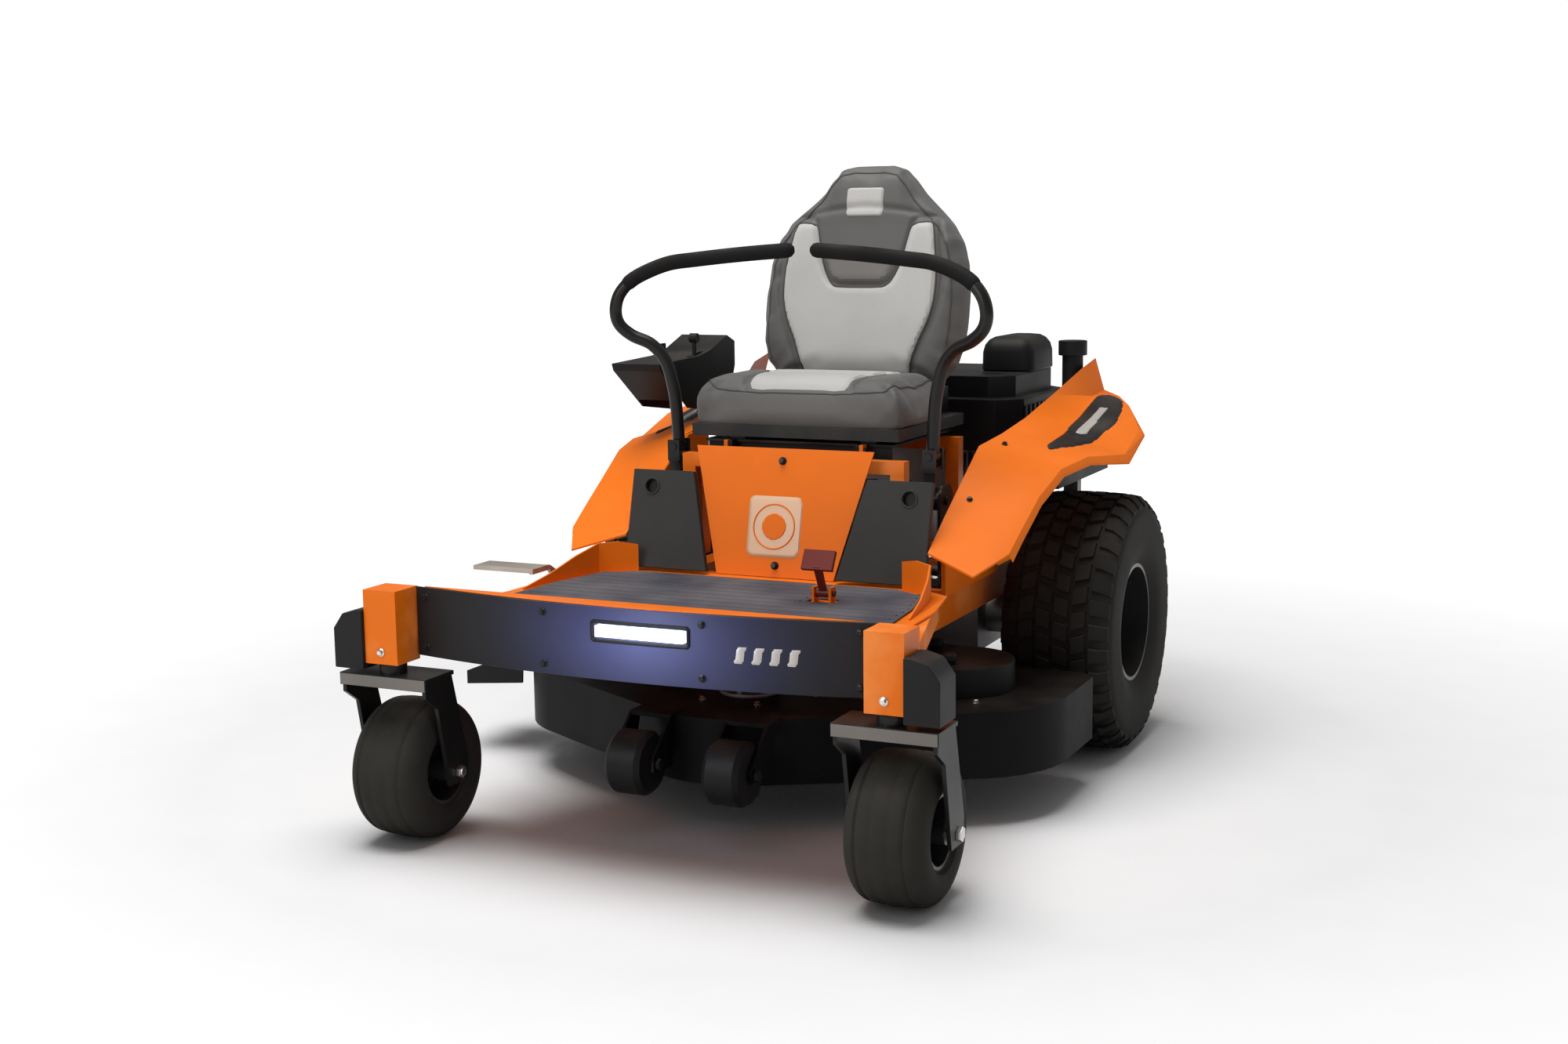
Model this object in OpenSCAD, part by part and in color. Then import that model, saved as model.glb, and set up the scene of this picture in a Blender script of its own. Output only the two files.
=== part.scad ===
// Zero turn riding mower with a three-blade side-discharge deck.
// Origin: on the ground, at the middle of the machine's footprint.
// +X is the operator's left, -Y is forward, +Z is up.
// The modules are drawn from a point on the ground midway between the rear wheels, and placed()
// moves them to the origin.

/* [Wheels] */
// Distance from the rear axle to the caster axles
wheelbase = 1140; // [1120:5:1180]
// Distance between the centres of the rear tyres
rear_track = 990; // [980:5:1020]
// Distance between the two caster swivel axes
caster_track = 1010; // [1000:5:1030]
// Outside diameter of a rear tyre
rear_tyre_d = 568; // [550:2:570]
// Width of a rear tyre
rear_tyre_w = 246; // [220:2:250]
// Outside diameter of a caster tyre
caster_tyre_d = 270; // [260:2:274]
// Width of a caster tyre
caster_tyre_w = 150; // [130:2:152]
// Distance the caster axle trails behind its swivel axis
caster_trail = 65; // [55:1:70]

/* [Frame] */
// Height of the underside of the frame rails
rail_z = 345; // [340:1:350]
// Distance between the inner faces of the frame rails
rail_gap = 560; // [550:2:570]

/* [Deck] */
// Height of the deck's lower edge above the ground
deck_z = 100; // [80:1:104]
// Length of one blade
blade_len = 404; // [380:2:408]
// Distance of the outer spindles from the middle
spindle_x = 372; // [370:1:376]

/* [Seat] */
// Width of the seat cushion
seat_w = 490; // [440:5:500]
// Height of the seat back above the ground
seat_top = 1270; // [1240:5:1290]
// Lean of the seat back from upright, in degrees
seat_lean = 12.5; // [8:0.5:16]

/* [Hidden] */
$fn = 64;

orange = [0.93, 0.36, 0.08];
black = [0.07, 0.07, 0.08];
dark_grey = [0.2, 0.2, 0.22];
mid_grey = [0.5, 0.5, 0.5];
steel = [0.7, 0.7, 0.72];

fit_gap = 0.05;    // radial clearance of a running fit
seam = 0.5;        // gap between separate pieces that are fastened together

rear_r = rear_tyre_d / 2;
caster_r = caster_tyre_d / 2;
kingpin_y = -wheelbase - caster_trail;
kingpin_x = caster_track / 2;

// Frame
rail_in = rail_gap / 2;
rail_w = 50;
rail_out = rail_in + rail_w;
rail_h = 70;
rail_top = rail_z + rail_h;
rail_wall = 4;
rail_rear_y = 440;
rail_front_y = -1120;
housing_w = 72;
housing_low = 357;
housing_high = 497;
housing_wall = 6;
kingpin_r = 16;
bush_r = 20;
lower_plate = [housing_low, housing_low + 12];
upper_plate = [455, 467];
arm_low = rail_z + 51;
arm_high = arm_low + 42;
arm_w = 60;
arm_rear = [356, -665];
arm_front = [500, -1182];
floor_z = arm_high + 1;
floor_t = 4;

// Seat mounting
post_y = -500;
post_in = 222;
post_out = 252;
seat_pivot_y = -480;
seat_pivot_z = 700;
hinge_r = 6;

// Lift linkage
lift_y = -620;
lift_z = 380;
lift_r = 14;
lift_arm = 90;
lift_pin_r = 8;
hanger_x = 255;

// Steering levers
lever_x = 292;
lever_y = -440;
lever_pivot_z = 600;
lever_swing_z = 690;
lever_tube_r = 14;
lever_shaft_r = 10;
swing_pin_r = 8;

// Deck
deck_t = 5;
deck_top = deck_z + 130;
side_spindle = [spindle_x, -500];
front_spindle = [0, -705];
cut_r = 228;
deck_rear_y = -292;
shaft_r = 12.5;
pulley_r = 65;
belt_t = 6;
belt_z = deck_top + 26;
belt_h = 12;
drum_r = 50;
crank_y = 250;
crank_r = 18;
sheave_r = 52;
input_spot = [175, -8];
idler_r = 38;
belt_slack = 0.8;  // gap between a belt and its pulleys
belt_mid = belt_slack + belt_t / 2;
idler = [
    drum_r + idler_r + 2 * belt_mid,
    side_spindle[1] + pulley_r + idler_r + 2 * belt_mid
];
chute_x = -608;
chute_z = deck_top - 6;
chute_rear_y = -342;
chute_front_y = -580;
chute_pin_r = 5;
chute_reach = 165;
scalp_x = 103;
scalp_y = -1000;
scalp_z = 150;
scalp_r = 62;
scalp_pin_r = 7;

// Controls
throttle = [-400, -152, 852];
key_spot = [-462, -190];
cap_spot = [385, 232];
brake = [200, -790, 462];
brake_pin_r = 6;

hitch_end = 612;
hub_face = 10;     // where the hub flange meets the rim disc, outboard of the tyre's middle
axle_r = 17.5;
stud_circle_r = 50.8;
axle_bolt_r = 8;
front_curve_r = 2166;
front_y = -1230;

// The footprint runs from the chute's edge to the left tyre, and from the casters to the hitch
footprint_x = [chute_x - chute_reach, (rear_track + rear_tyre_w) / 2];
footprint_y = [-wheelbase - caster_r, hitch_end];

// ---------- helpers ----------

module placed() {
    translate([-footprint_x[0] - footprint_x[1], -footprint_y[0] - footprint_y[1], 0] / 2)
        children();
}

module both_sides() {
    children();
    mirror([1, 0, 0]) children();
}

module on_right() {
    mirror([1, 0, 0]) children();
}

module block(low, high) {
    translate(low) cube(high - low);
}

module rod_x(r, x0, x1, y, z) {
    translate([x0, y, z]) rotate([0, 90, 0]) cylinder(r = r, h = x1 - x0);
}

module rod_y(r, y0, y1, x, z) {
    translate([x, y0, z]) rotate([-90, 0, 0]) cylinder(r = r, h = y1 - y0);
}

module rod_z(r, z0, z1, x, y) {
    translate([x, y, z0]) cylinder(r = r, h = z1 - z0);
}

// A plate whose outline is given as [y, z] points, between two x values
module side_plate(x0, x1, outline) {
    translate([x0, 0, 0]) rotate([90, 0, 90]) linear_extrude(x1 - x0) polygon(outline);
}

// A plate whose outline is given as [x, z] points, between two y values
module cross_plate(y0, y1, outline) {
    translate([0, y1, 0]) rotate([90, 0, 0]) linear_extrude(y1 - y0) polygon(outline);
}

// A sheet that stands on the line (y, z) and leans back by an angle
module leaning(y, z, lean) {
    translate([0, y, z]) rotate([90 - lean, 0, 0]) children();
}

function arc(cx, cy, r, from, to, steps) =
    [for (i = [0 : steps])
        let (a = from + (to - from) * i / steps)
        [cx + r * cos(a), cy + r * sin(a)]];

function mirrored(points) = [for (i = [len(points) - 1 : -1 : 0]) [-points[i][0], points[i][1]]];

// A straight bar of round section between two points
module bar(a, b, r) {
    d = b - a;
    length = norm(d);
    translate(a)
        rotate([0, acos(d[2] / length), atan2(d[1], d[0])])
            cylinder(r = r, h = length);
}

// A bent tube: straight bars with a slightly larger ball at each bend
module bent_tube(points, r) {
    knuckle = 0.4;
    for (i = [0 : len(points) - 2]) bar(points[i], points[i + 1], r);
    for (i = [1 : len(points) - 2]) translate(points[i]) sphere(r = r + knuckle);
}

// ---------- wheels ----------

// Hollow tyre, turned about X, open towards the rim
module tyre(r, bead_r, w, shoulder, wall) {
    half = w / 2;
    bead_x = half - 31 * w / rear_tyre_w;
    waist_r = bead_r + 23 * r / rear_r;
    waist_x = half - 11 * w / rear_tyre_w;
    outer = concat(
        [[bead_r, -bead_x], [waist_r, -waist_x]],
        arc(r - shoulder, -half + shoulder, shoulder, -90, 0, 8),
        arc(r - shoulder, half - shoulder, shoulder, 0, 90, 8),
        [[waist_r, waist_x], [bead_r, bead_x]]
    );
    inner = [
        [bead_r, bead_x - wall], [waist_r, waist_x - wall],
        [r - shoulder, half - wall], [r - wall, half - shoulder],
        [r - wall, -half + shoulder], [r - shoulder, -half + wall],
        [waist_r, -waist_x + wall], [bead_r, -bead_x + wall]
    ];
    rotate([0, 90, 0]) rotate_extrude($fn = 128) polygon(concat(outer, inner));
}

// Rim barrel with a lip at each side and a centre disc that starts at disc_x
module rim(bead_r, tyre_w, wall, disc_x, disc_t, bore_r) {
    bead_x = tyre_w / 2 - 31 * tyre_w / rear_tyre_w;
    lip = 0.07 * bead_r;
    outer_r = bead_r - seam;
    barrel = [
        [outer_r - wall, -bead_x - lip - wall], [outer_r + lip, -bead_x - lip - wall],
        [outer_r + lip, -bead_x - lip - 1], [outer_r, -bead_x - 1],
        [outer_r, bead_x + 1], [outer_r + lip, bead_x + lip + 1],
        [outer_r + lip, bead_x + lip + wall], [outer_r - wall, bead_x + lip + wall]
    ];
    rotate([0, 90, 0]) rotate_extrude($fn = 128) polygon(barrel);
    rotate([0, 90, 0]) translate([0, 0, disc_x]) difference() {
        cylinder(r = outer_r - wall / 2, h = disc_t);
        translate([0, 0, -1]) cylinder(r = bore_r, h = disc_t + 2);
    }
}

module at_rear_wheel() {
    translate([rear_track / 2, 0, rear_r]) children();
}

module at_caster_wheel() {
    translate([kingpin_x, -wheelbase, caster_r]) children();
}

module rear_tyre() color(black)
    at_rear_wheel() tyre(rear_r, 127, rear_tyre_w, 58, 12);

module rear_rim() color(black)
    at_rear_wheel() difference() {
        rim(127, rear_tyre_w, 5, hub_face, 6, 34);
        for (a = [45 : 90 : 315]) rotate([a, 0, 0])
            rod_x(6.6, 0, 30, stud_circle_r, 0);
    }

// Axle shaft, hub flange and studs in one piece, and four separate lug nuts
module rear_hub() color(steel)
    at_rear_wheel() {
        shaft_start = 345 - rear_track / 2 - 60;
        rod_x(axle_r, shaft_start, hub_face - 12, 0, 0);
        rod_x(64, hub_face - 12, hub_face - fit_gap, 0, 0);
        rod_x(33, hub_face - 1, hub_face + 22, 0, 0);
        for (a = [45 : 90 : 315]) rotate([a, 0, 0]) {
            rod_x(6, hub_face - 1, hub_face + 24, stud_circle_r, 0);
            translate([hub_face + 6.2, stud_circle_r, 0]) rotate([0, 90, 0]) difference() {
                cylinder(r = 10.5, h = 12, $fn = 6);
                translate([0, 0, -1]) cylinder(r = 6 + fit_gap, h = 14);
            }
        }
    }

module caster_tyre() color(black)
    at_caster_wheel() tyre(caster_r, 64, caster_tyre_w, 36, 9);

module caster_rim() color(black)
    at_caster_wheel() difference() {
        union() {
            rim(64, caster_tyre_w, 4, -4, 8, 20);
            rod_x(22, -76, 76, 0, 0);
        }
        rod_x(axle_bolt_r + fit_gap, -80, 80, 0, 0);
    }

// Caster yoke: a lipped top plate, two legs that trail back and the swivel pin
module caster_fork() color(dark_grey) {
    leg_in = 86;
    leg_out = 94;
    plate_x = 97;
    plate_low = 311;
    plate_high = 335;
    front = kingpin_y - 37;
    axle_y = -wheelbase;
    leg = [
        [front + 4, plate_high - 4], [kingpin_y + 52, plate_high - 4],
        [axle_y + 32, caster_r + 24], [axle_y + 32, caster_r - 22],
        [axle_y - 30, caster_r - 22], [kingpin_y + 4, plate_low - 40],
        [front + 4, plate_low - 14]
    ];
    difference() {
        union() {
            translate([kingpin_x, 0, 0]) {
                block([-plate_x, front, plate_high - 8], [plate_x, kingpin_y + 56, plate_high]);
                block([-plate_x, front, plate_low], [plate_x, front + 6, plate_high]);
                for (x = [-leg_out, leg_in]) side_plate(x, x + leg_out - leg_in, leg);
            }
            rod_z(26, plate_high - 1, housing_low - 4.5, kingpin_x, kingpin_y);
            rod_z(kingpin_r, plate_high - 1, 484, kingpin_x, kingpin_y);
            rod_z(24, upper_plate[1] + 4, upper_plate[1] + 15, kingpin_x, kingpin_y);
        }
        rod_x(axle_bolt_r + fit_gap, kingpin_x - 100, kingpin_x + 100, -wheelbase, caster_r);
    }
}

// Axle bolt with its head on the outside and a nut on the inside
module caster_axle() color(steel)
    translate([kingpin_x, -wheelbase, caster_r]) rotate([0, 90, 0]) {
        translate([0, 0, -106]) cylinder(r = axle_bolt_r, h = 206);
        translate([0, 0, 94.3]) cylinder(r = 14, h = 9, $fn = 6);
        translate([0, 0, -103.3]) cylinder(r = 13, h = 9, $fn = 6);
    }

// ---------- frame ----------

module rail() difference() {
    block([rail_in, rail_front_y, rail_z], [rail_out, rail_rear_y, rail_top]);
    block(
        [rail_in + rail_wall, rail_front_y - 1, rail_z + rail_wall],
        [rail_out - rail_wall, rail_rear_y + 1, rail_top - rail_wall]
    );
}

// Box tube that runs out from the footwell to the caster housing
module front_arm() {
    d = arm_front - arm_rear;
    translate([arm_rear[0], arm_rear[1], 0]) rotate([0, 0, atan2(d[1], d[0])]) difference() {
        block([0, -arm_w / 2, arm_low], [norm(d), arm_w / 2, arm_high]);
        block(
            [-1, rail_wall - arm_w / 2, arm_low + rail_wall],
            [norm(d) - 20, arm_w / 2 - rail_wall, arm_high - rail_wall]
        );
    }
}

module kingpin_housing() {
    half = housing_w / 2;
    inner = half - housing_wall;
    translate([kingpin_x, kingpin_y, 0]) {
        difference() {
            block([-half, -half, housing_low], [half, half, housing_high]);
            block([-inner, -inner, lower_plate[1]], [inner, inner, upper_plate[0]]);
            block([-inner, -inner, upper_plate[1]], [inner, inner, housing_high - housing_wall]);
            rod_z(bush_r + fit_gap, housing_low - 1, upper_plate[1] + 1, 0, 0);
        }
    }
}

module main_frame() color(orange) {
    seat_bar_z = 655;
    difference() {
        union() {
            both_sides() {
                rail();
                front_arm();
                kingpin_housing();
                // seat posts and their hinge lugs
                block([post_in, post_y, rail_top], [post_out, post_y + 30, 682]);
                block([post_in, -175, rail_top], [post_out, -145, 698]);
                block([150, seat_pivot_y - 10, 680], [158, seat_pivot_y + 10, 712]);
            }
            // cross members under the floor, the seat and the engine
            difference() {
                block([-455, -1150, arm_low], [455, -1100, arm_high]);
                block([-500, -1146, arm_low + 4], [500, -1099, arm_high - 4]);
            }
            block([-rail_out, post_y, rail_top - 1], [rail_out, post_y + 40, rail_top + 8]);
            block([-rail_out, -180, rail_top - 1], [rail_out, -140, rail_top + 8]);
            block([-post_out, post_y, seat_bar_z], [post_out, post_y + 30, seat_bar_z + 27]);
            block([-post_out, -175, 671], [post_out, -145, 698]);
            block([-110, post_y, rail_top + 4], [110, -140, rail_top + 8]);
            block([-rail_out, 60, rail_top - 1], [rail_out, rail_rear_y, rail_top + 8]);
            block([-rail_in - 1, rail_rear_y - 8, rail_z], [rail_in + 1, rail_rear_y, rail_top]);
            // hitch tongue
            block([-60, rail_rear_y - 8, rail_z + 30], [60, hitch_end, rail_z + 38]);
        }
        rod_x(lift_r + fit_gap, -rail_out - 1, rail_out + 1, lift_y, lift_z);
        rod_x(hinge_r + fit_gap, -170, 170, seat_pivot_y, seat_pivot_z);
        rod_z(60, rail_top - 2, rail_top + 9, 0, crank_y);
        rod_z(8, rail_z, rail_top, 0, hitch_end - 24);
        both_sides() block([120, -70, rail_top - 2], [230, 55, rail_top + 9]);
    }
}

module bush(z, flange_z, flange_t) difference() {
    union() {
        rod_z(bush_r, z, z + 12, kingpin_x, kingpin_y);
        rod_z(bush_r + 5, flange_z, flange_z + flange_t, kingpin_x, kingpin_y);
    }
    rod_z(kingpin_r + fit_gap, z - 10, z + 20, kingpin_x, kingpin_y);
}

module kingpin_bushes() color([0.6, 0.45, 0.2])
    both_sides() {
        bush(lower_plate[0], lower_plate[0] - 3, 3);
        bush(upper_plate[0], upper_plate[1], 3);
    }

// Solid in plan between two arcs about the front curve's centre
module curved_front(outer, inner, half_w, z0, z1) {
    center_y = front_y + front_curve_r;
    intersection() {
        difference() {
            translate([0, center_y, z0]) cylinder(r = front_curve_r + outer, h = z1 - z0, $fn = 256);
            translate([0, center_y, z0 - 1])
                cylinder(r = front_curve_r + inner, h = z1 - z0 + 2, $fn = 256);
        }
        block([-half_w, front_y - 60, z0 - 1], [half_w, front_y + 400, z1 + 1]);
    }
}

module front_panel() color(black) {
    inner_x = kingpin_x - housing_w / 2 - 4;
    outer_x = kingpin_x + housing_w / 2 + seam;
    wing = [
        [outer_x, 345], [outer_x + 65, 345], [outer_x + 65, 421],
        [outer_x + 44, 450], [outer_x + 14, 458], [outer_x, 458]
    ];
    difference() {
        union() {
            curved_front(0, -5, inner_x, 366, 498);
            curved_front(-1, -40, inner_x, 366, 371);
        }
        block([-50, front_y - 20, 443], [130, front_y + 12, 467]);
    }
    both_sides() cross_plate(kingpin_y - 44, kingpin_y + 34, wing);
}

module headlight() color([0.9, 0.94, 1])
    difference() {
        block([-48, front_y - 4, 445], [128, front_y + 14, 465]);
        block([-40, front_y + 5, 449], [120, front_y + 15, 461]);
    }

// Upright edge of the floor beside a foot pad, which meets the fender and slopes down forward
module floor_edge() {
    path = [[296, -624], [330, -640], [368, -664], [386, -727], [400, -800], [412, -890]];
    top = [
        [-620, 500], [-640, 508], [-664, 505], [-727, 487], [-800, 464], [-890, 446],
        [-890, floor_z + 1], [-620, floor_z + 1]
    ];
    rear = [for (i = [len(path) - 1 : -1 : 0]) path[i] + [3.4, 1.5]];
    intersection() {
        translate([0, 0, floor_z]) linear_extrude(80) polygon(concat(path, rear));
        side_plate(280, 430, top);
    }
}

// Floor with a rising toe board at the front, an upright edge at each side and two ears for the
// brake pedal
module floor_pan() color(orange) {
    outline = [[334, -560], [334, -604], [398, -645], [430, -800], [446, -1150], [446, -1230]];
    profile = [
        [-560, floor_z], [-1060, floor_z], [-1180, 495], [-1260, 495],
        [-1260, 499], [-1178, 499], [-1058, floor_z + floor_t], [-560, floor_z + floor_t]
    ];
    center_y = front_y + front_curve_r;
    difference() {
        union() {
            intersection() {
                side_plate(-460, 460, profile);
                translate([0, 0, floor_z - 10])
                    linear_extrude(80) polygon(concat(outline, mirrored(outline)));
                translate([0, center_y, floor_z - 10])
                    cylinder(r = front_curve_r - 6, h = 80, $fn = 256);
            }
            both_sides() floor_edge();
            for (x = [180, 215])
                block([x, brake[1] - 12, floor_z + 1], [x + 5, brake[1] + 12, brake[2] + 12]);
        }
        rod_x(brake_pin_r + fit_gap, 170, 230, brake[1], brake[2]);
    }
}

module floor_mat() color(dark_grey)
    translate([0, 0, floor_z + floor_t + 0.2]) difference() {
        linear_extrude(4) polygon([
            [288, -632], [358, -674], [388, -800], [410, -1040],
            [-410, -1040], [-388, -800], [-358, -674], [-288, -632]
        ]);
        translate([172, brake[1] - 20, -1]) cube([56, 40, 8]);
    }

module foot_pads() color(dark_grey)
    both_sides() leaning(-597, floor_z + floor_t + 5, 14.3) difference() {
        linear_extrude(14) polygon([[146, 0], [330, 0], [337, 30], [337, 207], [196, 207]]);
        translate([290, 172, -1]) cylinder(r = 15, h = 20);
    }

module center_panel() color(orange)
    leaning(-584, floor_z + floor_t + 0.5, 12.2) difference() {
        linear_extrude(4) polygon([[-132, 0], [132, 0], [200, 266], [-200, 266]]);
        for (y = [24, 240]) translate([0, y, -1]) cylinder(r = 5, h = 6);
    }

// Fender skin: rows of [x, y, z] points from front to rear, each with the inner edge, the crease,
// the hip and the outer edge
fender_rows = [
    [[340, -597, 517], [449, -640, 484], [494, -556, 518], [500, -550, 504]],
    [[341, -500, 579], [453, -500, 571], [498, -500, 552], [504, -500, 538]],
    [[343, -400, 641], [457, -400, 623], [505, -400, 610], [511, -400, 597]],
    [[346, -300, 699], [461, -300, 668], [521, -300, 656], [528, -300, 644]],
    [[355, -190, 712], [463, -190, 692], [545, -190, 670], [552, -190, 656]],
    [[366, -62, 734], [446, -62, 706], [590, -62, 662], [600, -62, 645]],
    [[390, 65, 776], [440, 65, 727], [588, 65, 704], [600, 65, 692]],
    [[416, 200, 824], [442, 200, 762], [528, 200, 742], [536, 200, 728]],
    [[420, 300, 842], [442, 300, 768], [478, 300, 754], [484, 300, 738]]
];
fender_t = 4;

module fender_skin() {
    count = len(fender_rows);
    wide = len(fender_rows[0]);
    top = [for (row = fender_rows) for (p = row) p];
    bottom = [for (p = top) p - [0, 0, fender_t]];
    n = count * wide;
    top_faces = [
        for (i = [0 : count - 2]) for (k = [0 : wide - 2])
            for (half = [0, 1])
                let (a = i * wide + k, b = a + 1, c = a + wide, d = c + 1)
                half == 0 ? [a, c, d] : [a, d, b]
    ];
    bottom_faces = [for (f = top_faces) [f[0] + n, f[2] + n, f[1] + n]];
    border = concat(
        [for (k = [0 : wide - 1]) k],
        [for (i = [1 : count - 1]) i * wide + wide - 1],
        [for (k = [wide - 2 : -1 : 0]) (count - 1) * wide + k],
        [for (i = [count - 2 : -1 : 1]) i * wide]
    );
    sides = [
        for (j = [0 : len(border) - 1])
            for (half = [0, 1])
                let (a = border[j], b = border[(j + 1) % len(border)])
                half == 0 ? [a, b, b + n] : [a, b + n, a + n]
    ];
    polyhedron(points = concat(top, bottom), faces = concat(top_faces, bottom_faces, sides));
}

// The skin and the inner wall that holds it on the frame rail
module fender() color(orange) {
    wall_top = [for (i = [1 : 3]) [fender_rows[i][0][1], fender_rows[i][0][2] - fender_t / 2]];
    wall_rear = -200;
    wall = concat(
        [[-526, rail_top + 1], [-526, 560]], wall_top,
        [[wall_rear, 704], [wall_rear, rail_top + 1]]
    );
    fender_skin();
    side_plate(342, 351, wall);
}

module fender_left() fender();

module fender_right() on_right() fender();

// Control console on the right fender, with a slot for the throttle and a key socket
module control_console() color(black) {
    profile = [
        [-352, 856], [-345, 840], [-215, 748], [-80, 730], [0, 762], [28, 830], [28, 886],
        [-12, 902], [-100, 872], [-160, 862]
    ];
    difference() {
        side_plate(-505, -385, profile);
        // hollow under the top, open at the bottom
        side_plate(-501, -389, [[-240, 740], [-90, 700], [-30, 730], [-40, 846], [-240, 836]]);
        block([-405, -190, 835], [-395, -114, 900]);
        rod_x(3 + fit_gap, -415, -385 - 1, throttle[1], throttle[2]);
        rod_z(9 + fit_gap, 840, 900, key_spot[0], key_spot[1]);
    }
}

module lever_brackets() color(black)
    both_sides() difference() {
        union() {
            for (x = [262, 316])
                side_plate(x, x + 6, [
                    [-478, rail_top + 9], [-402, rail_top + 9], [-402, 610],
                    [-418, 632], [-462, 632], [-478, 610]
                ]);
            block([262, -478, rail_top + 9], [322, -402, rail_top + 14]);
        }
        rod_x(lever_shaft_r + fit_gap, 250, 330, lever_y, lever_pivot_z);
    }

module fuel_tank() color(black) {
    profile = [
        [-185, 592], [245, 592], [245, 742], [60, 724], [-60, 692], [-120, 676], [-185, 640]
    ];
    side_plate(358, 410, profile);
    side_plate(409, 470, [[-150, 592], [240, 592], [240, 730], [60, 690], [-40, 640], [-150, 610]]);
    rod_z(24, 735, 862, cap_spot[0], cap_spot[1]);
}

// ---------- engine and drive ----------

// Crankcase with a cylinder at each side
module engine_block() color(dark_grey) {
    low = rail_top + 8.2;
    difference() {
        block([-125, 130, low], [125, 405, 640]);
        block([-113, 142, low + 12], [113, 393, 628]);
        rod_z(crank_r + 4, low - 1, low + 20, 0, crank_y);
    }
    both_sides() {
        rod_x(52, 120, 262, 260, 560);
        for (x = [140 : 16 : 236]) block([x, 190, 492], [x + 5, 330, 628]);
        block([258, 205, 512], [290, 315, 610]);
    }
    rod_z(42, 425, 520, 60, 95);
}

// A box with cut corners, in plan
module chamfered(half_x, low_y, high_y, cut) {
    polygon([
        [-half_x, low_y + cut], [-half_x, high_y - cut], [cut - half_x, high_y],
        [half_x - cut, high_y], [half_x, high_y - cut], [half_x, low_y + cut],
        [half_x - cut, low_y], [cut - half_x, low_y]
    ]);
}

// Fan and cylinder shroud, two hollow steps with a bowl for the fan screen
module engine_shroud() color(black) {
    low = 642;
    step = 760;
    top = 811;
    t = 4;
    difference() {
        union() {
            translate([0, 0, low]) linear_extrude(step - low) chamfered(306, 62, 480, 52);
            translate([0, 0, step - 1]) linear_extrude(top - step + 1) chamfered(280, 84, 456, 48);
            rod_z(118, top - 6, 846, -60, 262);
        }
        translate([0, 0, low - 1])
            linear_extrude(step - t - low + 1) chamfered(306 - t, 62 + t, 480 - t, 50);
        translate([0, 0, step - t - 1])
            linear_extrude(top - step + 1) chamfered(280 - t, 84 + t, 456 - t, 46);
        rod_z(96, top - 20, 838, -60, 262);
    }
}

module air_filter_cover() color(black) {
    low = 811.5;
    outline = concat(
        arc(186, 246, 26, 180, 270, 4), arc(264, 246, 26, 270, 360, 4),
        arc(264, 388, 26, 0, 90, 4), arc(186, 388, 26, 90, 180, 4)
    );
    difference() {
        translate([0, 0, low]) linear_extrude(82) polygon(outline);
        for (z = [828 : 14 : 870]) block([150, 210, z], [168, 430, z + 5]);
    }
}

// Hollow drum with an outlet and two flanged inlets
module muffler() color(steel) {
    difference() {
        union() {
            rod_x(44, -185, 185, 470, 500);
            rod_y(16, 505, 532, 130, 480);
        }
        rod_x(40, -181, 181, 470, 500);
        rod_y(13, 500, 533, 130, 480);
    }
    both_sides() rod_y(15, 408, 428, 80, 500);
}

module battery() color(black) {
    block([-95, -400, rail_top + 9], [95, -250, 610]);
    for (x = [-70, 70]) rod_z(8, 609, 624, x, -380);
}

// Two hydrostatic transaxles, each with an input pulley on top
module transaxles() color(dark_grey)
    both_sides() difference() {
        union() {
            block([122, -96, 208], [270, 112, rail_z - 1]);
            rod_x(46, 268, 344, 0, rear_r);
            block([150, 110, 226], [240, 150, 320]);
            rod_z(12, rail_z - 2, 398, input_spot[0], input_spot[1]);
            rod_z(sheave_r, 366, 384, input_spot[0], input_spot[1]);
        }
        rod_x(axle_r + fit_gap, 285, 346, 0, rear_r);
    }

// Middle line of the drive belt, moved outwards by an amount
function drive_belt_outline(grow) =
    let (
        radius = sheave_r + belt_mid + grow,
        side = atan2(crank_y - input_spot[1], input_spot[0]),
        steps = 12
    )
    concat(
        arc(input_spot[0], input_spot[1], radius, -90, 90 - side, steps),
        arc(0, crank_y, radius, 90 - side, 90 + side, steps),
        arc(-input_spot[0], input_spot[1], radius, 90 + side, 270, steps)
    );

// V-belt from the crankshaft to both transaxle pulleys
module drive_belt() color(black)
    translate([0, 0, 369]) linear_extrude(10) difference() {
        polygon(drive_belt_outline(belt_t / 2));
        polygon(drive_belt_outline(-belt_t / 2));
    }

// Crankshaft end with the drive sheave and the long clutch drum for the deck belt
module engine_pulley() color(steel) {
    rod_z(crank_r, 340, rail_top + 7, 0, crank_y);
    rod_z(sheave_r, 366, 384, 0, crank_y);
    rod_z(drum_r, 190, 345, 0, crank_y);
}

module rear_guard() color(black) {
    mount_y = rail_rear_y + seam;
    both_sides() {
        block([rail_in + 1, mount_y, rail_z + 8], [rail_out - 1, 528, rail_z + 44]);
        difference() {
            block([278, 527, rail_z + 8], [314, 559, 690]);
            for (z = [430, 560]) rod_y(5.5, 520, 570, 296, z);
        }
    }
    block([-314, 527, 652], [314, 559, 690]);
    block([-280, 535, 452], [280, 551, 472]);
}

// ---------- operator controls ----------

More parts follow.
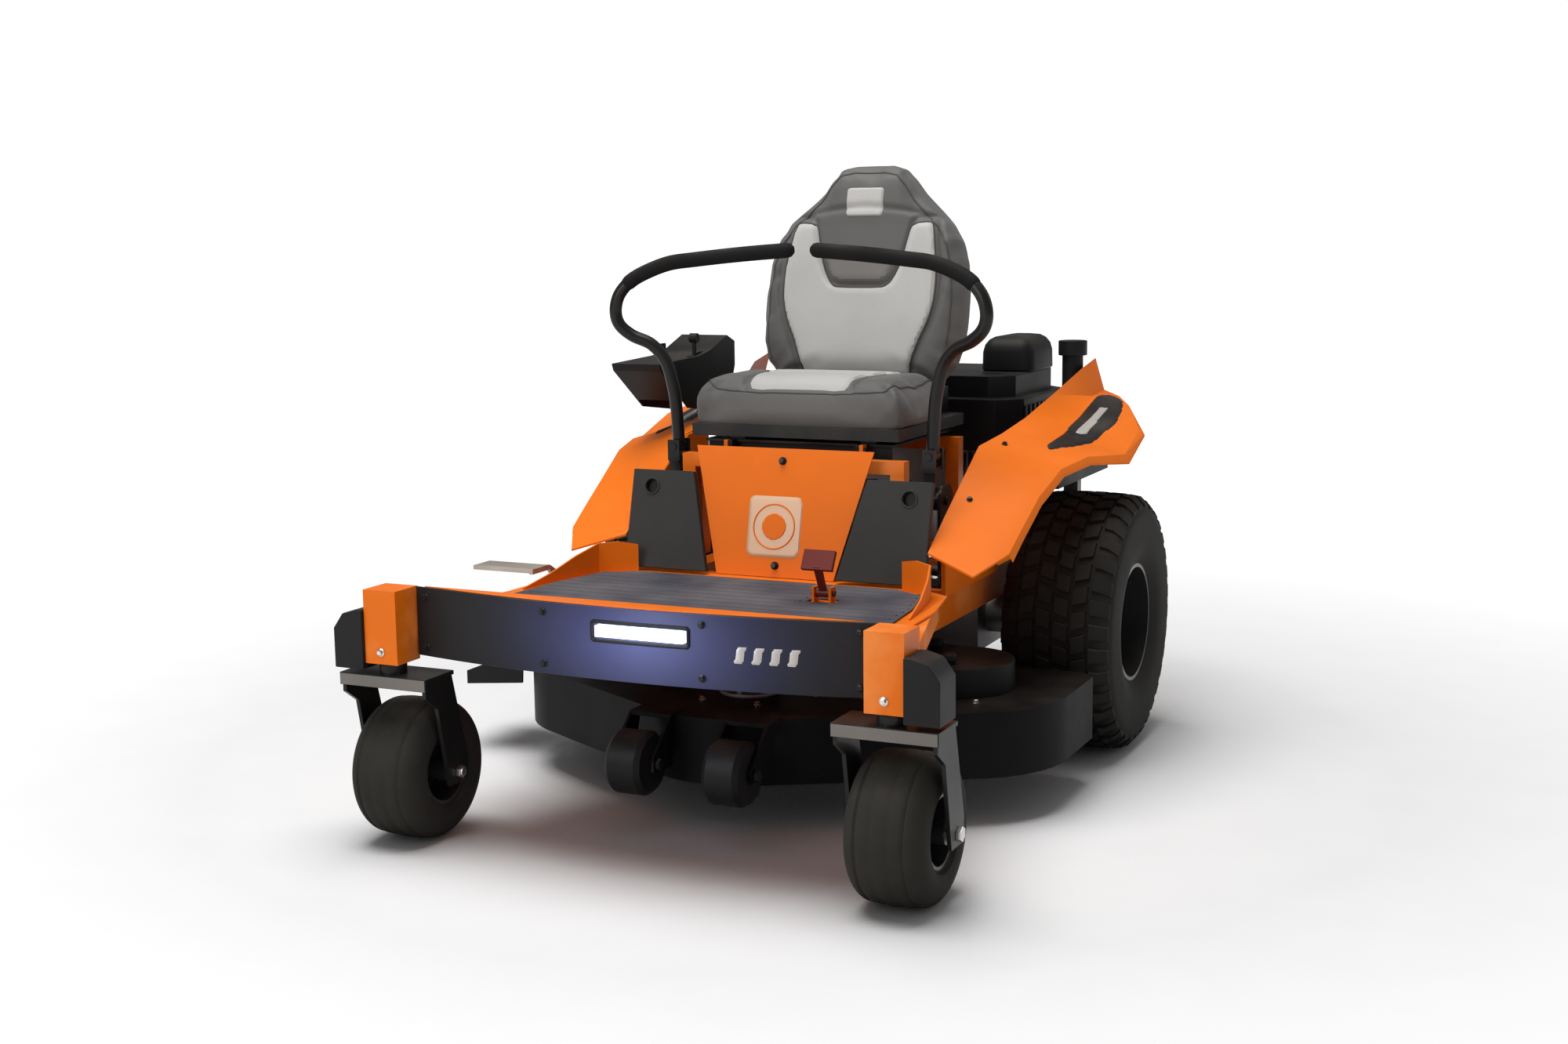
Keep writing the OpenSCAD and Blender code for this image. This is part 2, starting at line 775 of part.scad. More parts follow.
module lever_base() color(black) difference() {
    union() {
        rod_x(22, 269.5, 314.5, lever_y, lever_pivot_z);
        rod_x(lever_shaft_r, 258, 326, lever_y, lever_pivot_z);
        block([lever_x - 12, lever_y - 20, lever_pivot_z], [lever_x + 12, lever_y + 20, 668]);
        for (y = [lever_y - 26, lever_y + 18])
            block([lever_x - 14, y, 660], [lever_x + 14, y + 8, lever_swing_z + 14]);
        block([lever_x - 12, lever_y - 26, 656], [lever_x + 12, lever_y + 26, 668]);
    }
    rod_y(swing_pin_r + fit_gap, lever_y - 30, lever_y + 30, lever_x, lever_swing_z);
}

lever_path = [
    [292, -440, 700], [300, -443, 800], [322, -450, 892], [385, -468, 925], [419, -478, 972],
    [408, -476, 1018], [372, -468, 1052], [300, -457, 1082], [31, -430, 1107]
];

module lever_tube() color(black) {
    bent_tube(lever_path, lever_tube_r);
    rod_y(13, lever_y - 17, lever_y + 17, lever_x, lever_swing_z);
    rod_y(swing_pin_r, lever_y - 28, lever_y + 28, lever_x, lever_swing_z);
}

// Tilting plate with the two seat tracks and the hinge pins
module seat_plate() color(dark_grey) {
    block([-215, seat_pivot_y + 16, 706], [215, -112, 711]);
    both_sides() {
        block([140, seat_pivot_y - 8, 692], [148, seat_pivot_y + 20, 711]);
        rod_x(hinge_r, 140, 162, seat_pivot_y, seat_pivot_z);
        block([132, seat_pivot_y + 40, 710], [168, -130, 719]);
        rod_z(12, 698.5, 707, 230 - 40, -160);
    }
}

// Pressed seat pan with two runners that rest on the tracks
module seat_pan() color(black) {
    half = seat_w / 2 - 10;
    t = 3;
    difference() {
        block([-half, -486, 720], [half, -96, 745]);
        block([t - half, t - 486, 719], [half - t, -96 - t, 745 - t]);
    }
    both_sides() block([132, -480, 720], [168, -104, 743]);
    difference() {
        block([-190, -100, 720], [190, -70, 800]);
        block([t - 190, -100 - t, 719], [190 - t, -70 - t, 800 - t]);
    }
}

module seat_cushion() color(mid_grey) {
    half = seat_w / 2;
    profile = [
        [-494, 762], [-494, 822], [-478, 842], [-420, 846], [-300, 832], [-170, 832],
        [-138, 822], [-112, 796], [-112, 746], [-480, 746]
    ];
    intersection() {
        side_plate(-half, half, profile);
        cross_plate(-500, -100, concat(
            [[-half + 12, 746], [half - 12, 746], [half, 770]],
            [[half, 830], [half - 14, 850], [-half + 14, 850], [-half, 830], [-half, 770]]
        ));
    }
}

// Seat back: a shield outline with sloping shoulders and a narrow head, leaning back
module seat_back() color(mid_grey) {
    base_z = 824;
    k = (seat_top - base_z) / cos(seat_lean);
    half = [
        [196, 0], [232, 0.1 * k], [243, 0.22 * k], [241, 0.4 * k], [228, 0.56 * k],
        [196, 0.70 * k], [150, 0.80 * k], [112, 0.88 * k], [92, 0.96 * k], [66, k]
    ];
    leaning(-96, base_z, seat_lean) linear_extrude(70) polygon(concat(half, mirrored(half)));
}

module brake_pedal() color(black) {
    rod_x(brake_pin_r, 176, 224, brake[1], brake[2]);
    rod_x(9, 186, 214, brake[1], brake[2]);
    side_plate(194, 206, [
        [brake[1] - 6, brake[2]], [brake[1] + 6, brake[2]], [brake[1] - 24, brake[2] + 62],
        [brake[1] - 36, brake[2] + 56]
    ]);
    leaning(brake[1] - 26, brake[2] + 50, 30) block([168, -4, 0], [232, 36, 10]);
}

// Foot pedal, cross shaft and the two arms that raise the deck
module lift_pedal() color(dark_grey) {
    rod_x(lift_r, -452, rail_out + 12, lift_y, lift_z);
    both_sides() {
        side_plate(hanger_x - 19, hanger_x - 11, [
            [lift_y - 20, lift_z - 16], [lift_y + lift_arm + 12, lift_z - 12],
            [lift_y + lift_arm + 12, lift_z + 12], [lift_y - 20, lift_z + 16]
        ]);
        rod_x(lift_pin_r, hanger_x - 12, hanger_x + 7, lift_y + lift_arm, lift_z);
    }
    side_plate(-456, -447, [
        [lift_y - 16, lift_z - 14], [lift_y + 16, lift_z - 8], [lift_y + 12, lift_z + 18],
        [lift_y - 110, lift_z + 86], [lift_y - 178, lift_z + 86], [lift_y - 178, lift_z + 76],
        [lift_y - 112, lift_z + 76]
    ]);
    block([-592, lift_y - 178, lift_z + 78], [-447, lift_y - 116, lift_z + 87]);
}

// ---------- mowing deck ----------

// Plan outline of the deck, grown or shrunk by an amount
module deck_outline(grow) {
    r = cut_r + grow;
    a = atan2(side_spindle[1] - front_spindle[1], side_spindle[0]);
    n = [sin(a), -cos(a)];
    side_tangent = side_spindle + r * n;
    front_tangent = front_spindle + r * n;
    rear = deck_rear_y + grow;
    half = [
        front_tangent, side_tangent, [side_spindle[0] + r, side_spindle[1]],
        [side_spindle[0] + r, rear - 30], [side_spindle[0] + r - 30, rear]
    ];
    polygon(concat(half, mirrored(half)));
    translate(front_spindle) circle(r = r);
    for (s = [-1, 1]) intersection() {
        translate([s * side_spindle[0], side_spindle[1]]) circle(r = r);
        translate([s * side_spindle[0] - r, side_spindle[1] - r]) square([2 * r, r]);
    }
}

module each_spindle() {
    both_sides() translate([side_spindle[0], side_spindle[1], 0]) children();
    translate([front_spindle[0], front_spindle[1], 0]) children();
}

module deck_shell() color(black) {
    difference() {
        union() {
            difference() {
                translate([0, 0, deck_z]) linear_extrude(deck_top - deck_z) deck_outline(0);
                translate([0, 0, deck_z - 1])
                    linear_extrude(deck_top - deck_z - deck_t + 1) deck_outline(-deck_t);
            }
            // hanger plates for the lift arms
            both_sides() side_plate(hanger_x - 4, hanger_x + 4, [
                [-572, deck_top - 2], [-506, deck_top - 2], [-506, lift_z + 22],
                [-572, lift_z + 22]
            ]);
            // brackets of the front rollers
            both_sides() for (x = [scalp_x - 46, scalp_x + 40])
                side_plate(x, x + 6, [
                    [-1012, scalp_z + 14], [-1012, scalp_z - 14], [-940, scalp_z - 20],
                    [-900, deck_top - 1], [-940, deck_top - 1]
                ]);
            both_sides() block(
                [scalp_x - 46, -940, deck_top - 6], [scalp_x + 46, -880, deck_top + 2]);
            // hinge ears of the discharge chute
            for (y = [chute_rear_y - 8, chute_front_y])
                block([chute_x - 9, y, chute_z - 10], [-575, y + 8, chute_z + 10]);
        }
        each_spindle() rod_z(33, deck_top - 20, deck_top + 10, 0, 0);
        // discharge opening in the right wall
        block([-620, -566, deck_z + 18], [-580, -356, deck_top - 22]);
        both_sides() {
            rod_x(lift_pin_r + 5, hanger_x - 5, hanger_x + 5, lift_y + lift_arm, lift_z);
            block(
                [hanger_x - 5, lift_y + lift_arm - 22, lift_z - lift_pin_r - 5],
                [hanger_x + 5, lift_y + lift_arm, lift_z + lift_pin_r + 5]
            );
            rod_x(
                lift_pin_r + 5, hanger_x - 5, hanger_x + 5, lift_y + lift_arm - 22, lift_z);
            rod_x(scalp_pin_r + fit_gap, scalp_x - 50, scalp_x + 50, scalp_y, scalp_z);
        }
        rod_y(chute_pin_r + fit_gap, -600, -330, chute_x, chute_z);
    }
}

// Belt covers over the two outer spindles, with a way in for the belt
module belt_covers() color(black)
    both_sides() difference() {
        translate([side_spindle[0], side_spindle[1], deck_top + seam]) difference() {
            union() {
                cylinder(r = 112, h = 58);
                block([-108, -112, 0], [0, 112, 58]);
            }
            translate([0, 0, -1]) cylinder(r = 107, h = 55);
            block([-109, -107, -1], [0, 107, 54]);
            translate([-60, 0, 50]) cylinder(r = 16, h = 10);
        }
        translate([0, 0, deck_top]) linear_extrude(44) difference() {
            polygon(deck_belt_outline(belt_t));
            polygon(deck_belt_outline(-belt_t));
        }
    }

module spindle_housings() color(steel)
    each_spindle() difference() {
        union() {
            rod_z(32, deck_z + 42, deck_top + 1, 0, 0);
            rod_z(62, deck_top + 0.2, deck_top + 8, 0, 0);
            rod_z(30, deck_top + 7, deck_top + 20, 0, 0);
        }
        rod_z(shaft_r + fit_gap, deck_z + 30, deck_top + 30, 0, 0);
    }

module deck_idlers() color(steel)
    both_sides() {
        rod_z(idler_r, belt_z - 2, belt_z + belt_h + 2, idler[0], idler[1]);
        rod_z(10, deck_top + 0.2, belt_z, idler[0], idler[1]);
    }

// Middle line of the deck belt, moved outwards by an amount
function deck_belt_outline(grow) =
    let (
        a = atan2(side_spindle[1] - front_spindle[1], side_spindle[0]),
        big = pulley_r + belt_mid + grow,
        bend = idler_r + belt_mid - grow,
        steps = 12
    )
    concat(
        arc(front_spindle[0], front_spindle[1], big, -90 - a, a - 90, steps),
        arc(side_spindle[0], side_spindle[1], big, a - 90, 90, steps),
        arc(idler[0], idler[1], bend, 270, 180, steps),
        arc(0, crank_y, drum_r + belt_mid + grow, 0, 180, steps),
        arc(-idler[0], idler[1], bend, 0, -90, steps),
        arc(-side_spindle[0], side_spindle[1], big, 90, 270 - a, steps)
    );

module deck_belt() color(dark_grey)
    translate([0, 0, belt_z]) linear_extrude(belt_h) difference() {
        polygon(deck_belt_outline(belt_t / 2));
        polygon(deck_belt_outline(-belt_t / 2));
    }

// Spindle shaft with its pulley, and the blade with its bolt
module blade_set(turn) {
    blade_z = deck_z + 14;
    rod_z(shaft_r, blade_z + 7, deck_top + 50, 0, 0);
    rod_z(pulley_r, belt_z - 1, belt_z + belt_h + 1, 0, 0);
    rod_z(28, blade_z + 5.3, blade_z + 12, 0, 0);
    rod_z(14, blade_z - 9, blade_z - 0.3, 0, 0);
    rotate([0, 0, turn]) difference() {
        union() {
            block([-blade_len / 2 + 4, -30, blade_z], [blade_len / 2 - 4, 30, blade_z + 5]);
            // raised sail at each trailing edge
            for (a = [0, 180]) rotate([0, 0, a])
                block([blade_len / 2 - 90, 22, blade_z], [blade_len / 2 - 6, 30, blade_z + 22]);
        }
        rod_z(6, blade_z - 1, blade_z + 6, 0, 0);
    }
}

module blade_left() color(steel)
    translate([side_spindle[0], side_spindle[1], 0]) blade_set(20);

module blade_center() color(steel)
    translate([front_spindle[0], front_spindle[1], 0]) blade_set(80);

module blade_right() color(steel)
    translate([-side_spindle[0], side_spindle[1], 0]) blade_set(-40);

// Deck roller with its own axle pin
module anti_scalp_wheel() color(dark_grey)
    translate([scalp_x, scalp_y, scalp_z]) rotate([0, 90, 0]) {
        translate([0, 0, -38]) rotate_extrude() polygon([
            [0, 0], [scalp_r - 8, 0], [scalp_r, 10], [scalp_r, 66], [scalp_r - 8, 76], [0, 76]
        ]);
        translate([0, 0, -56]) cylinder(r = scalp_pin_r, h = 112);
        translate([0, 0, -56]) cylinder(r = 12, h = 7, $fn = 6);
        translate([0, 0, 49]) cylinder(r = 12, h = 7, $fn = 6);
    }

// Hinged chute on the right side of the deck
module discharge_chute() color(black) {
    skin = [
        [chute_x, chute_z + 8], [chute_x - 30, chute_z + 6], [chute_x - chute_reach, chute_z - 46],
        [chute_x - chute_reach, chute_z - 51], [chute_x - 30, chute_z + 1], [chute_x, chute_z + 3]
    ];
    cheek = [
        [chute_x - 16, chute_z + 4], [chute_x - 30, chute_z + 5], [chute_x - chute_reach, chute_z - 47],
        [chute_x - chute_reach, chute_z - 76], [chute_x - 20, chute_z - 62]
    ];
    low_y = chute_front_y + 10;
    high_y = chute_rear_y - 10;
    rod_y(chute_pin_r, chute_front_y - 4, chute_rear_y + 4, chute_x, chute_z);
    cross_plate(low_y, high_y, skin);
    cross_plate(low_y, low_y + 5, cheek);
    cross_plate(high_y - 5, high_y, cheek);
}

// ---------- small controls ----------

module throttle_lever() color(black) {
    rod_x(3, -414, -386, throttle[1], throttle[2]);
    rod_x(12, -403, -397, throttle[1], throttle[2]);
    block([-403, throttle[1] - 5, throttle[2]], [-397, throttle[1] + 5, 896]);
    rod_x(11, -409, -391, throttle[1], 903);
}

module ignition_key() color(dark_grey) {
    rod_z(9, 846, 871, key_spot[0], key_spot[1]);
    block([key_spot[0] - 3, key_spot[1] - 11, 870], [key_spot[0] + 3, key_spot[1] + 11, 892]);
}

module fuel_cap() color(black) {
    difference() {
        rod_z(33, 852, 886, cap_spot[0], cap_spot[1]);
        rod_z(24 + fit_gap, 850, 862 + fit_gap, cap_spot[0], cap_spot[1]);
    }
}

module caster_fork_left() caster_fork();
module caster_fork_right() on_right() caster_fork();
module caster_axle_left() caster_axle();
module caster_axle_right() on_right() caster_axle();
module caster_tyre_left() caster_tyre();
module caster_tyre_right() on_right() caster_tyre();
module caster_rim_left() caster_rim();
module caster_rim_right() on_right() caster_rim();
module rear_tyre_left() rear_tyre();
module rear_tyre_right() on_right() rear_tyre();
module rear_rim_left() rear_rim();
module rear_rim_right() on_right() rear_rim();
module rear_hub_left() rear_hub();
module rear_hub_right() on_right() rear_hub();
module lever_base_left() lever_base();
module lever_base_right() on_right() lever_base();
module lever_tube_left() lever_tube();
module lever_tube_right() on_right() lever_tube();
module anti_scalp_wheel_left() anti_scalp_wheel();
module anti_scalp_wheel_right() on_right() anti_scalp_wheel();

placed() main_frame();
placed() kingpin_bushes();
placed() front_panel();
placed() headlight();
placed() floor_pan();
placed() floor_mat();
placed() foot_pads();
placed() center_panel();
placed() fender_left();
placed() fender_right();
placed() control_console();
placed() lever_brackets();
placed() fuel_tank();
placed() engine_block();
placed() engine_shroud();
placed() air_filter_cover();
placed() muffler();
placed() battery();
placed() transaxles();
placed() drive_belt();
placed() rear_guard();
placed() caster_fork_left();
placed() caster_fork_right();
placed() caster_axle_left();
placed() caster_axle_right();
placed() caster_tyre_left();
placed() caster_tyre_right();
placed() caster_rim_left();
placed() caster_rim_right();
placed() rear_tyre_left();
placed() rear_tyre_right();
placed() rear_rim_left();
placed() rear_rim_right();
placed() rear_hub_left();
placed() rear_hub_right();
placed() lever_base_left();
placed() lever_base_right();
placed() lever_tube_left();
placed() lever_tube_right();
placed() seat_plate();
placed() seat_pan();
placed() seat_cushion();
placed() seat_back();
placed() brake_pedal();
placed() lift_pedal();
placed() deck_shell();
placed() belt_covers();
placed() spindle_housings();
placed() deck_idlers();
placed() deck_belt();
placed() blade_left();
placed() blade_center();
placed() blade_right();
placed() anti_scalp_wheel_left();
placed() anti_scalp_wheel_right();
placed() discharge_chute();
placed() throttle_lever();
placed() ignition_key();
placed() fuel_cap();
placed() engine_pulley();
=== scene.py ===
"""Looks of the zero turn mower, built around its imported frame.

Lengths are in metres. Local places are written from the ground point midway between the rear
tyres, with +X to the operator's left, -Y forward and +Z up; at() moves them into the frame.
"""

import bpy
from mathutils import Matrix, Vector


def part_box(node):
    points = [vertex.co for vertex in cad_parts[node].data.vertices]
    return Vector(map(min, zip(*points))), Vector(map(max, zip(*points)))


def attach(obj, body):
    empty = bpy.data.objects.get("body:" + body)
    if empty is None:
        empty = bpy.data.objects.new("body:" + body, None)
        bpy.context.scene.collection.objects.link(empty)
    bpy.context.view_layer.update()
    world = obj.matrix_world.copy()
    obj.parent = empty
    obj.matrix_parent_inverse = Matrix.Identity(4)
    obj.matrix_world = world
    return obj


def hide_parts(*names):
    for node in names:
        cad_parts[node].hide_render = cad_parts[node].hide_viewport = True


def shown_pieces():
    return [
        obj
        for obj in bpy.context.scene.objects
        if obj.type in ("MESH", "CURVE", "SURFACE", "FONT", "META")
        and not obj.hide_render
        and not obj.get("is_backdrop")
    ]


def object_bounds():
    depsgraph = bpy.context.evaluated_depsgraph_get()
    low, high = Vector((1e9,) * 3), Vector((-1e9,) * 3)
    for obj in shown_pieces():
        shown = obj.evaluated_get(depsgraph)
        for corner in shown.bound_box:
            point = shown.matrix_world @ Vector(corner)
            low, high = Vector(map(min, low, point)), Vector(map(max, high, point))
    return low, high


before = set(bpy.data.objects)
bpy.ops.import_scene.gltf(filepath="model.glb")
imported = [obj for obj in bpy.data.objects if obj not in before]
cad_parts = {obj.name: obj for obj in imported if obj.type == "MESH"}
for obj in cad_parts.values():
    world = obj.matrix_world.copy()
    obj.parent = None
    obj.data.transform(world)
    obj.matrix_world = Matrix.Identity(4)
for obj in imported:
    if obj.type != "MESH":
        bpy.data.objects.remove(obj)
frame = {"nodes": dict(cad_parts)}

import fnmatch
import math

import bpy
import numpy as np
from mathutils import Quaternion, Vector, geometry
from mathutils.bvhtree import BVHTree

CAD_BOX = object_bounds()
NODES = frame["nodes"]
SIDES = {"left": 1, "right": -1}


def middle(*nodes):
    """The middle of the box that holds these CAD nodes."""
    boxes = [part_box(name) for name in nodes]
    low = [min(box[0][i] for box in boxes) for i in range(3)]
    high = [max(box[1][i] for box in boxes) for i in range(3)]
    return (Vector(low) + Vector(high)) / 2


ORIGIN = middle("rear_tyre_left", "rear_tyre_right") * Vector((1, 1, 0))


def at(x, y, z):
    return Vector((x, y, z)) + ORIGIN


def show(name, data):
    """A new object of the scene that holds this mesh, light or camera."""
    made = bpy.data.objects.new(name, data)
    bpy.context.scene.collection.objects.link(made)
    return made


def modify(piece, kind, **settings):
    made = piece.modifiers.new(kind.lower(), kind)
    for key, value in settings.items():
        setattr(made, key, value)


def turns(steps):
    """The angles of this many even steps round a circle."""
    return [2 * math.pi * i / steps for i in range(steps)]


# ---- materials


def feed(tree, made, inputs):
    for key, value in inputs.items():
        if isinstance(value, bpy.types.NodeSocket):
            tree.links.new(value, made.inputs[key])
        else:
            made.inputs[key].default_value = value


def node(tree, kind, inputs=None, **settings):
    """Adds a shader or geometry node; an input is a value or another node's output."""
    made = tree.nodes.new(kind)
    for key, value in settings.items():
        setattr(made, key, value)
    feed(tree, made, inputs or {})
    return made


def math_node(tree, operation, a, b):
    return node(tree, "ShaderNodeMath", {0: a, 1: b}, operation=operation).outputs[0]


def ramp(tree, value, low, high):
    """Stretches low..high to 0..1."""
    made = node(tree, "ShaderNodeMapRange", {"Value": value, "From Min": low, "From Max": high})
    return made.outputs[0]


def mix(tree, share, a, b):
    made = node(tree, "ShaderNodeMix", {0: share, 6: a, 7: b}, data_type="RGBA")
    return made.outputs[2]


def rgba(color, gain=1.0):
    return tuple(min(1.0, channel * gain) for channel in color) + (1.0,)


DUST_COLOR = (0.42, 0.36, 0.28)
GLOSS_SPREAD = 0.16


def surface(name, color, rough, metallic=0.0, grain=0.0012, depth=0.0001, mottle=0.1, wear=0.0,
            worn=(0.3, 0.3, 0.3), dust=0.08, coat=0.0, sheen=0.0, stretch=(1, 1, 1), cells=False,
            shine=0.24):
    """A surface with uneven colour and gloss, fine relief, bright worn edges and settled dust."""
    material = bpy.data.materials.new(name)
    material.use_nodes = True
    tree = material.node_tree
    place = node(tree, "ShaderNodeTexCoord").outputs["Object"]
    placed = node(tree, "ShaderNodeMapping", {"Vector": place, "Scale": stretch}).outputs[0]
    broad = node(tree, "ShaderNodeTexNoise", {"Vector": placed, "Scale": 7.0, "Detail": 6.0})
    broad = broad.outputs["Fac"]
    kind = "ShaderNodeTexVoronoi" if cells else "ShaderNodeTexNoise"
    fine = node(tree, kind, {"Vector": placed, "Scale": 1 / grain}).outputs[0]
    base = mix(tree, ramp(tree, broad, 0.3, 0.7), rgba(color, 1 - mottle), rgba(color, 1 + mottle))
    shape = node(tree, "ShaderNodeNewGeometry")
    if wear:
        edge = ramp(tree, shape.outputs["Pointiness"], 0.56, 0.66)
        chips = ramp(tree, broad, 0.45, 0.6)
        share = math_node(tree, "MULTIPLY", math_node(tree, "MULTIPLY", edge, chips), wear)
        base = mix(tree, share, base, rgba(worn))
    if dust:
        upward = node(tree, "ShaderNodeSeparateXYZ", {0: shape.outputs["Normal"]}).outputs[2]
        settled = math_node(tree, "MULTIPLY", ramp(tree, upward, 0.4, 1.0), dust)
        share = math_node(tree, "MULTIPLY", settled, ramp(tree, broad, 0.35, 0.75))
        base = mix(tree, share, base, rgba(DUST_COLOR))
    gloss = ramp(tree, broad, 0.2, 0.8)
    gloss = math_node(tree, "MULTIPLY", math_node(tree, "SUBTRACT", gloss, 0.5), GLOSS_SPREAD)
    gloss = math_node(tree, "ADD", gloss, rough)
    relief = node(tree, "ShaderNodeBump", {"Height": fine, "Distance": depth, "Strength": 0.6})
    feed(tree, tree.nodes["Principled BSDF"], {
        "Base Color": base, "Roughness": gloss, "Normal": relief.outputs[0],
        "Metallic": metallic, "Coat Weight": coat, "Coat Roughness": 0.15, "Sheen Weight": sheen,
        "Specular IOR Level": shine,
    })
    return material


ORANGE = (0.70, 0.142, 0.005)
ORANGE_SHINE, DARK_SHINE = 0.13, 0.14
RUBBER = dict(grain=0.002, depth=0.0003, shine=DARK_SHINE)
VINYL = dict(grain=0.0022, depth=0.0003, sheen=0.12, cells=True)
FINISHES = {
    "orange_paint": dict(
        color=ORANGE, rough=0.42, coat=0.05, shine=ORANGE_SHINE, grain=0.0009, depth=0.00004,
        mottle=0.05, wear=0.25, worn=(0.9, 0.42, 0.15), dust=0.02),
    "orange_plastic": dict(
        color=ORANGE, rough=0.48, shine=ORANGE_SHINE, grain=0.001, depth=0.00008, mottle=0.05,
        dust=0.03),
    "black_plastic": dict(
        color=(0.010, 0.0095, 0.0095), rough=0.5, grain=0.0011, depth=0.00015, mottle=0.18,
        shine=DARK_SHINE),
    "grey_plastic": dict(
        color=(0.030, 0.030, 0.029), rough=0.56, grain=0.0014, depth=0.0002, mottle=0.15,
        cells=True, shine=DARK_SHINE),
    "panel_plastic": dict(
        color=(0.014, 0.013, 0.0135), rough=0.46, depth=0.00012, mottle=0.2, shine=DARK_SHINE),
    "black_paint": dict(
        color=(0.010, 0.0095, 0.009), rough=0.36, coat=0.15, wear=0.5, worn=(0.16, 0.15, 0.14),
        mottle=0.12, shine=DARK_SHINE),
    "deck_paint": dict(
        color=(0.006, 0.0057, 0.006), rough=0.5, wear=0.4, worn=(0.14, 0.13, 0.12), mottle=0.25,
        dust=0.05, shine=0.08),
    "rim_paint": dict(color=(0.017, 0.017, 0.017), rough=0.36, coat=0.3, wear=0.3),
    # painted highlight: the lighter colour of the thin strip on the front face of each caster
    # fork's top plate
    "fork_front_highlight": dict(color=(0.16, 0.145, 0.13), rough=0.45, metallic=0.2, mottle=0.15),
    "rubber_mat": dict(
        color=(0.045, 0.046, 0.060), rough=0.72, grain=0.003, depth=0.0003, mottle=0.2,
        dust=0.14, cells=True),
    "tyre_rubber": dict(
        RUBBER, color=(0.014, 0.0125, 0.011), rough=0.72, mottle=0.3, dust=0.1),
    "caster_rubber": dict(
        RUBBER, color=(0.024, 0.0215, 0.018), rough=0.74, mottle=0.25, dust=0.1),
    "belt_rubber": dict(
        RUBBER, color=(0.015, 0.015, 0.015), rough=0.8, depth=0.0002, mottle=0.3),
    "bronze": dict(color=(0.42, 0.25, 0.09), rough=0.35, metallic=1.0, mottle=0.2),
    "cast_metal": dict(
        color=(0.30, 0.30, 0.30), rough=0.5, metallic=0.85, grain=0.002, depth=0.0004,
        mottle=0.2, dust=0.2),
    "exhaust_steel": dict(
        color=(0.30, 0.26, 0.22), rough=0.45, metallic=0.9, mottle=0.35, grain=0.004,
        depth=0.0002),
    "bright_steel": dict(
        color=(0.66, 0.65, 0.62), rough=0.25, metallic=1.0, grain=0.0008, depth=0.00004),
    "blade_steel": dict(
        color=(0.24, 0.23, 0.22), rough=0.4, metallic=0.9, mottle=0.3, stretch=(1, 6, 1)),
    "steel_plate": dict(
        color=(0.42, 0.38, 0.33), rough=0.4, metallic=0.6, mottle=0.2, stretch=(1, 8, 1),
        dust=0.15),
    "vinyl": dict(
        VINYL, color=(0.078, 0.075, 0.071), rough=0.52, depth=0.00035, dust=0.03),
    "vinyl_light": dict(
        VINYL, color=(0.36, 0.355, 0.34), rough=0.56, mottle=0.07, dust=0.0),
    "vinyl_tab": dict(
        VINYL, color=(0.125, 0.12, 0.113), rough=0.55, grain=0.0018, sheen=0.1, dust=0.0),
    "piping": dict(color=(0.05, 0.048, 0.046), rough=0.5, grain=0.001),
    "foam_grip": dict(
        color=(0.011, 0.011, 0.011), rough=0.75, grain=0.0013, depth=0.0004, mottle=0.2,
        cells=True, shine=0.06),
    "mark_grey": dict(color=(0.45, 0.42, 0.39), rough=0.4, metallic=0.3, mottle=0.08),
    "badge": dict(color=(0.55, 0.36, 0.24), rough=0.42, metallic=0.2),
    "red_plastic": dict(color=(0.12, 0.012, 0.008), rough=0.45),
}
LOOK = {name: surface(name, **finish) for name, finish in FINISHES.items()}
LED_COLOR = (0.62, 0.74, 1.0, 1.0)
HALO_COLOR = (0.24, 0.28, 0.85, 1.0)
HALO_SHAPE, HALO_FALLOFF = (0.55, 1, 1), 2.6
LENS_POWER, LENS_RIPPLE = 2.6, 1.6
WHITE = (1, 1, 1, 1)


def glow(material, power, color):
    feed(material.node_tree, material.node_tree.nodes["Principled BSDF"],
         {"Emission Strength": power, "Emission Color": color})


def add_halo(material, centre, reach, strength):
    """Lights a surface with a soft bluish glow round a place, wider across than it is tall."""
    tree = material.node_tree
    shape = node(tree, "ShaderNodeNewGeometry").outputs["Position"]
    offset = node(tree, "ShaderNodeVectorMath", {0: shape, 1: centre}, operation="SUBTRACT")
    offset = node(tree, "ShaderNodeVectorMath", {0: offset.outputs[0], 1: HALO_SHAPE},
                  operation="MULTIPLY")
    length = node(tree, "ShaderNodeVectorMath", {0: offset.outputs[0]}, operation="LENGTH")
    share = ramp(tree, length.outputs["Value"], reach, 0.0)
    power = math_node(tree, "MULTIPLY", math_node(tree, "POWER", share, HALO_FALLOFF), strength)
    glow(material, power, HALO_COLOR)


def lens_material():
    """Clear ribbed lens with a row of bright spots behind it."""
    material = surface("led_lens", (0.8, 0.85, 1.0), 0.2, mottle=0.02, dust=0.0)
    tree = material.node_tree
    place = node(tree, "ShaderNodeTexCoord").outputs["Object"]
    ribs = node(tree, "ShaderNodeTexWave", {"Vector": place, "Scale": 14.0}, bands_direction="X")
    power = math_node(tree, "MULTIPLY", ribs.outputs["Fac"], LENS_RIPPLE)
    glow(material, math_node(tree, "ADD", power, LENS_POWER), LED_COLOR)
    return material


LOOK["led_lens"] = lens_material()

# ---- shading of edges


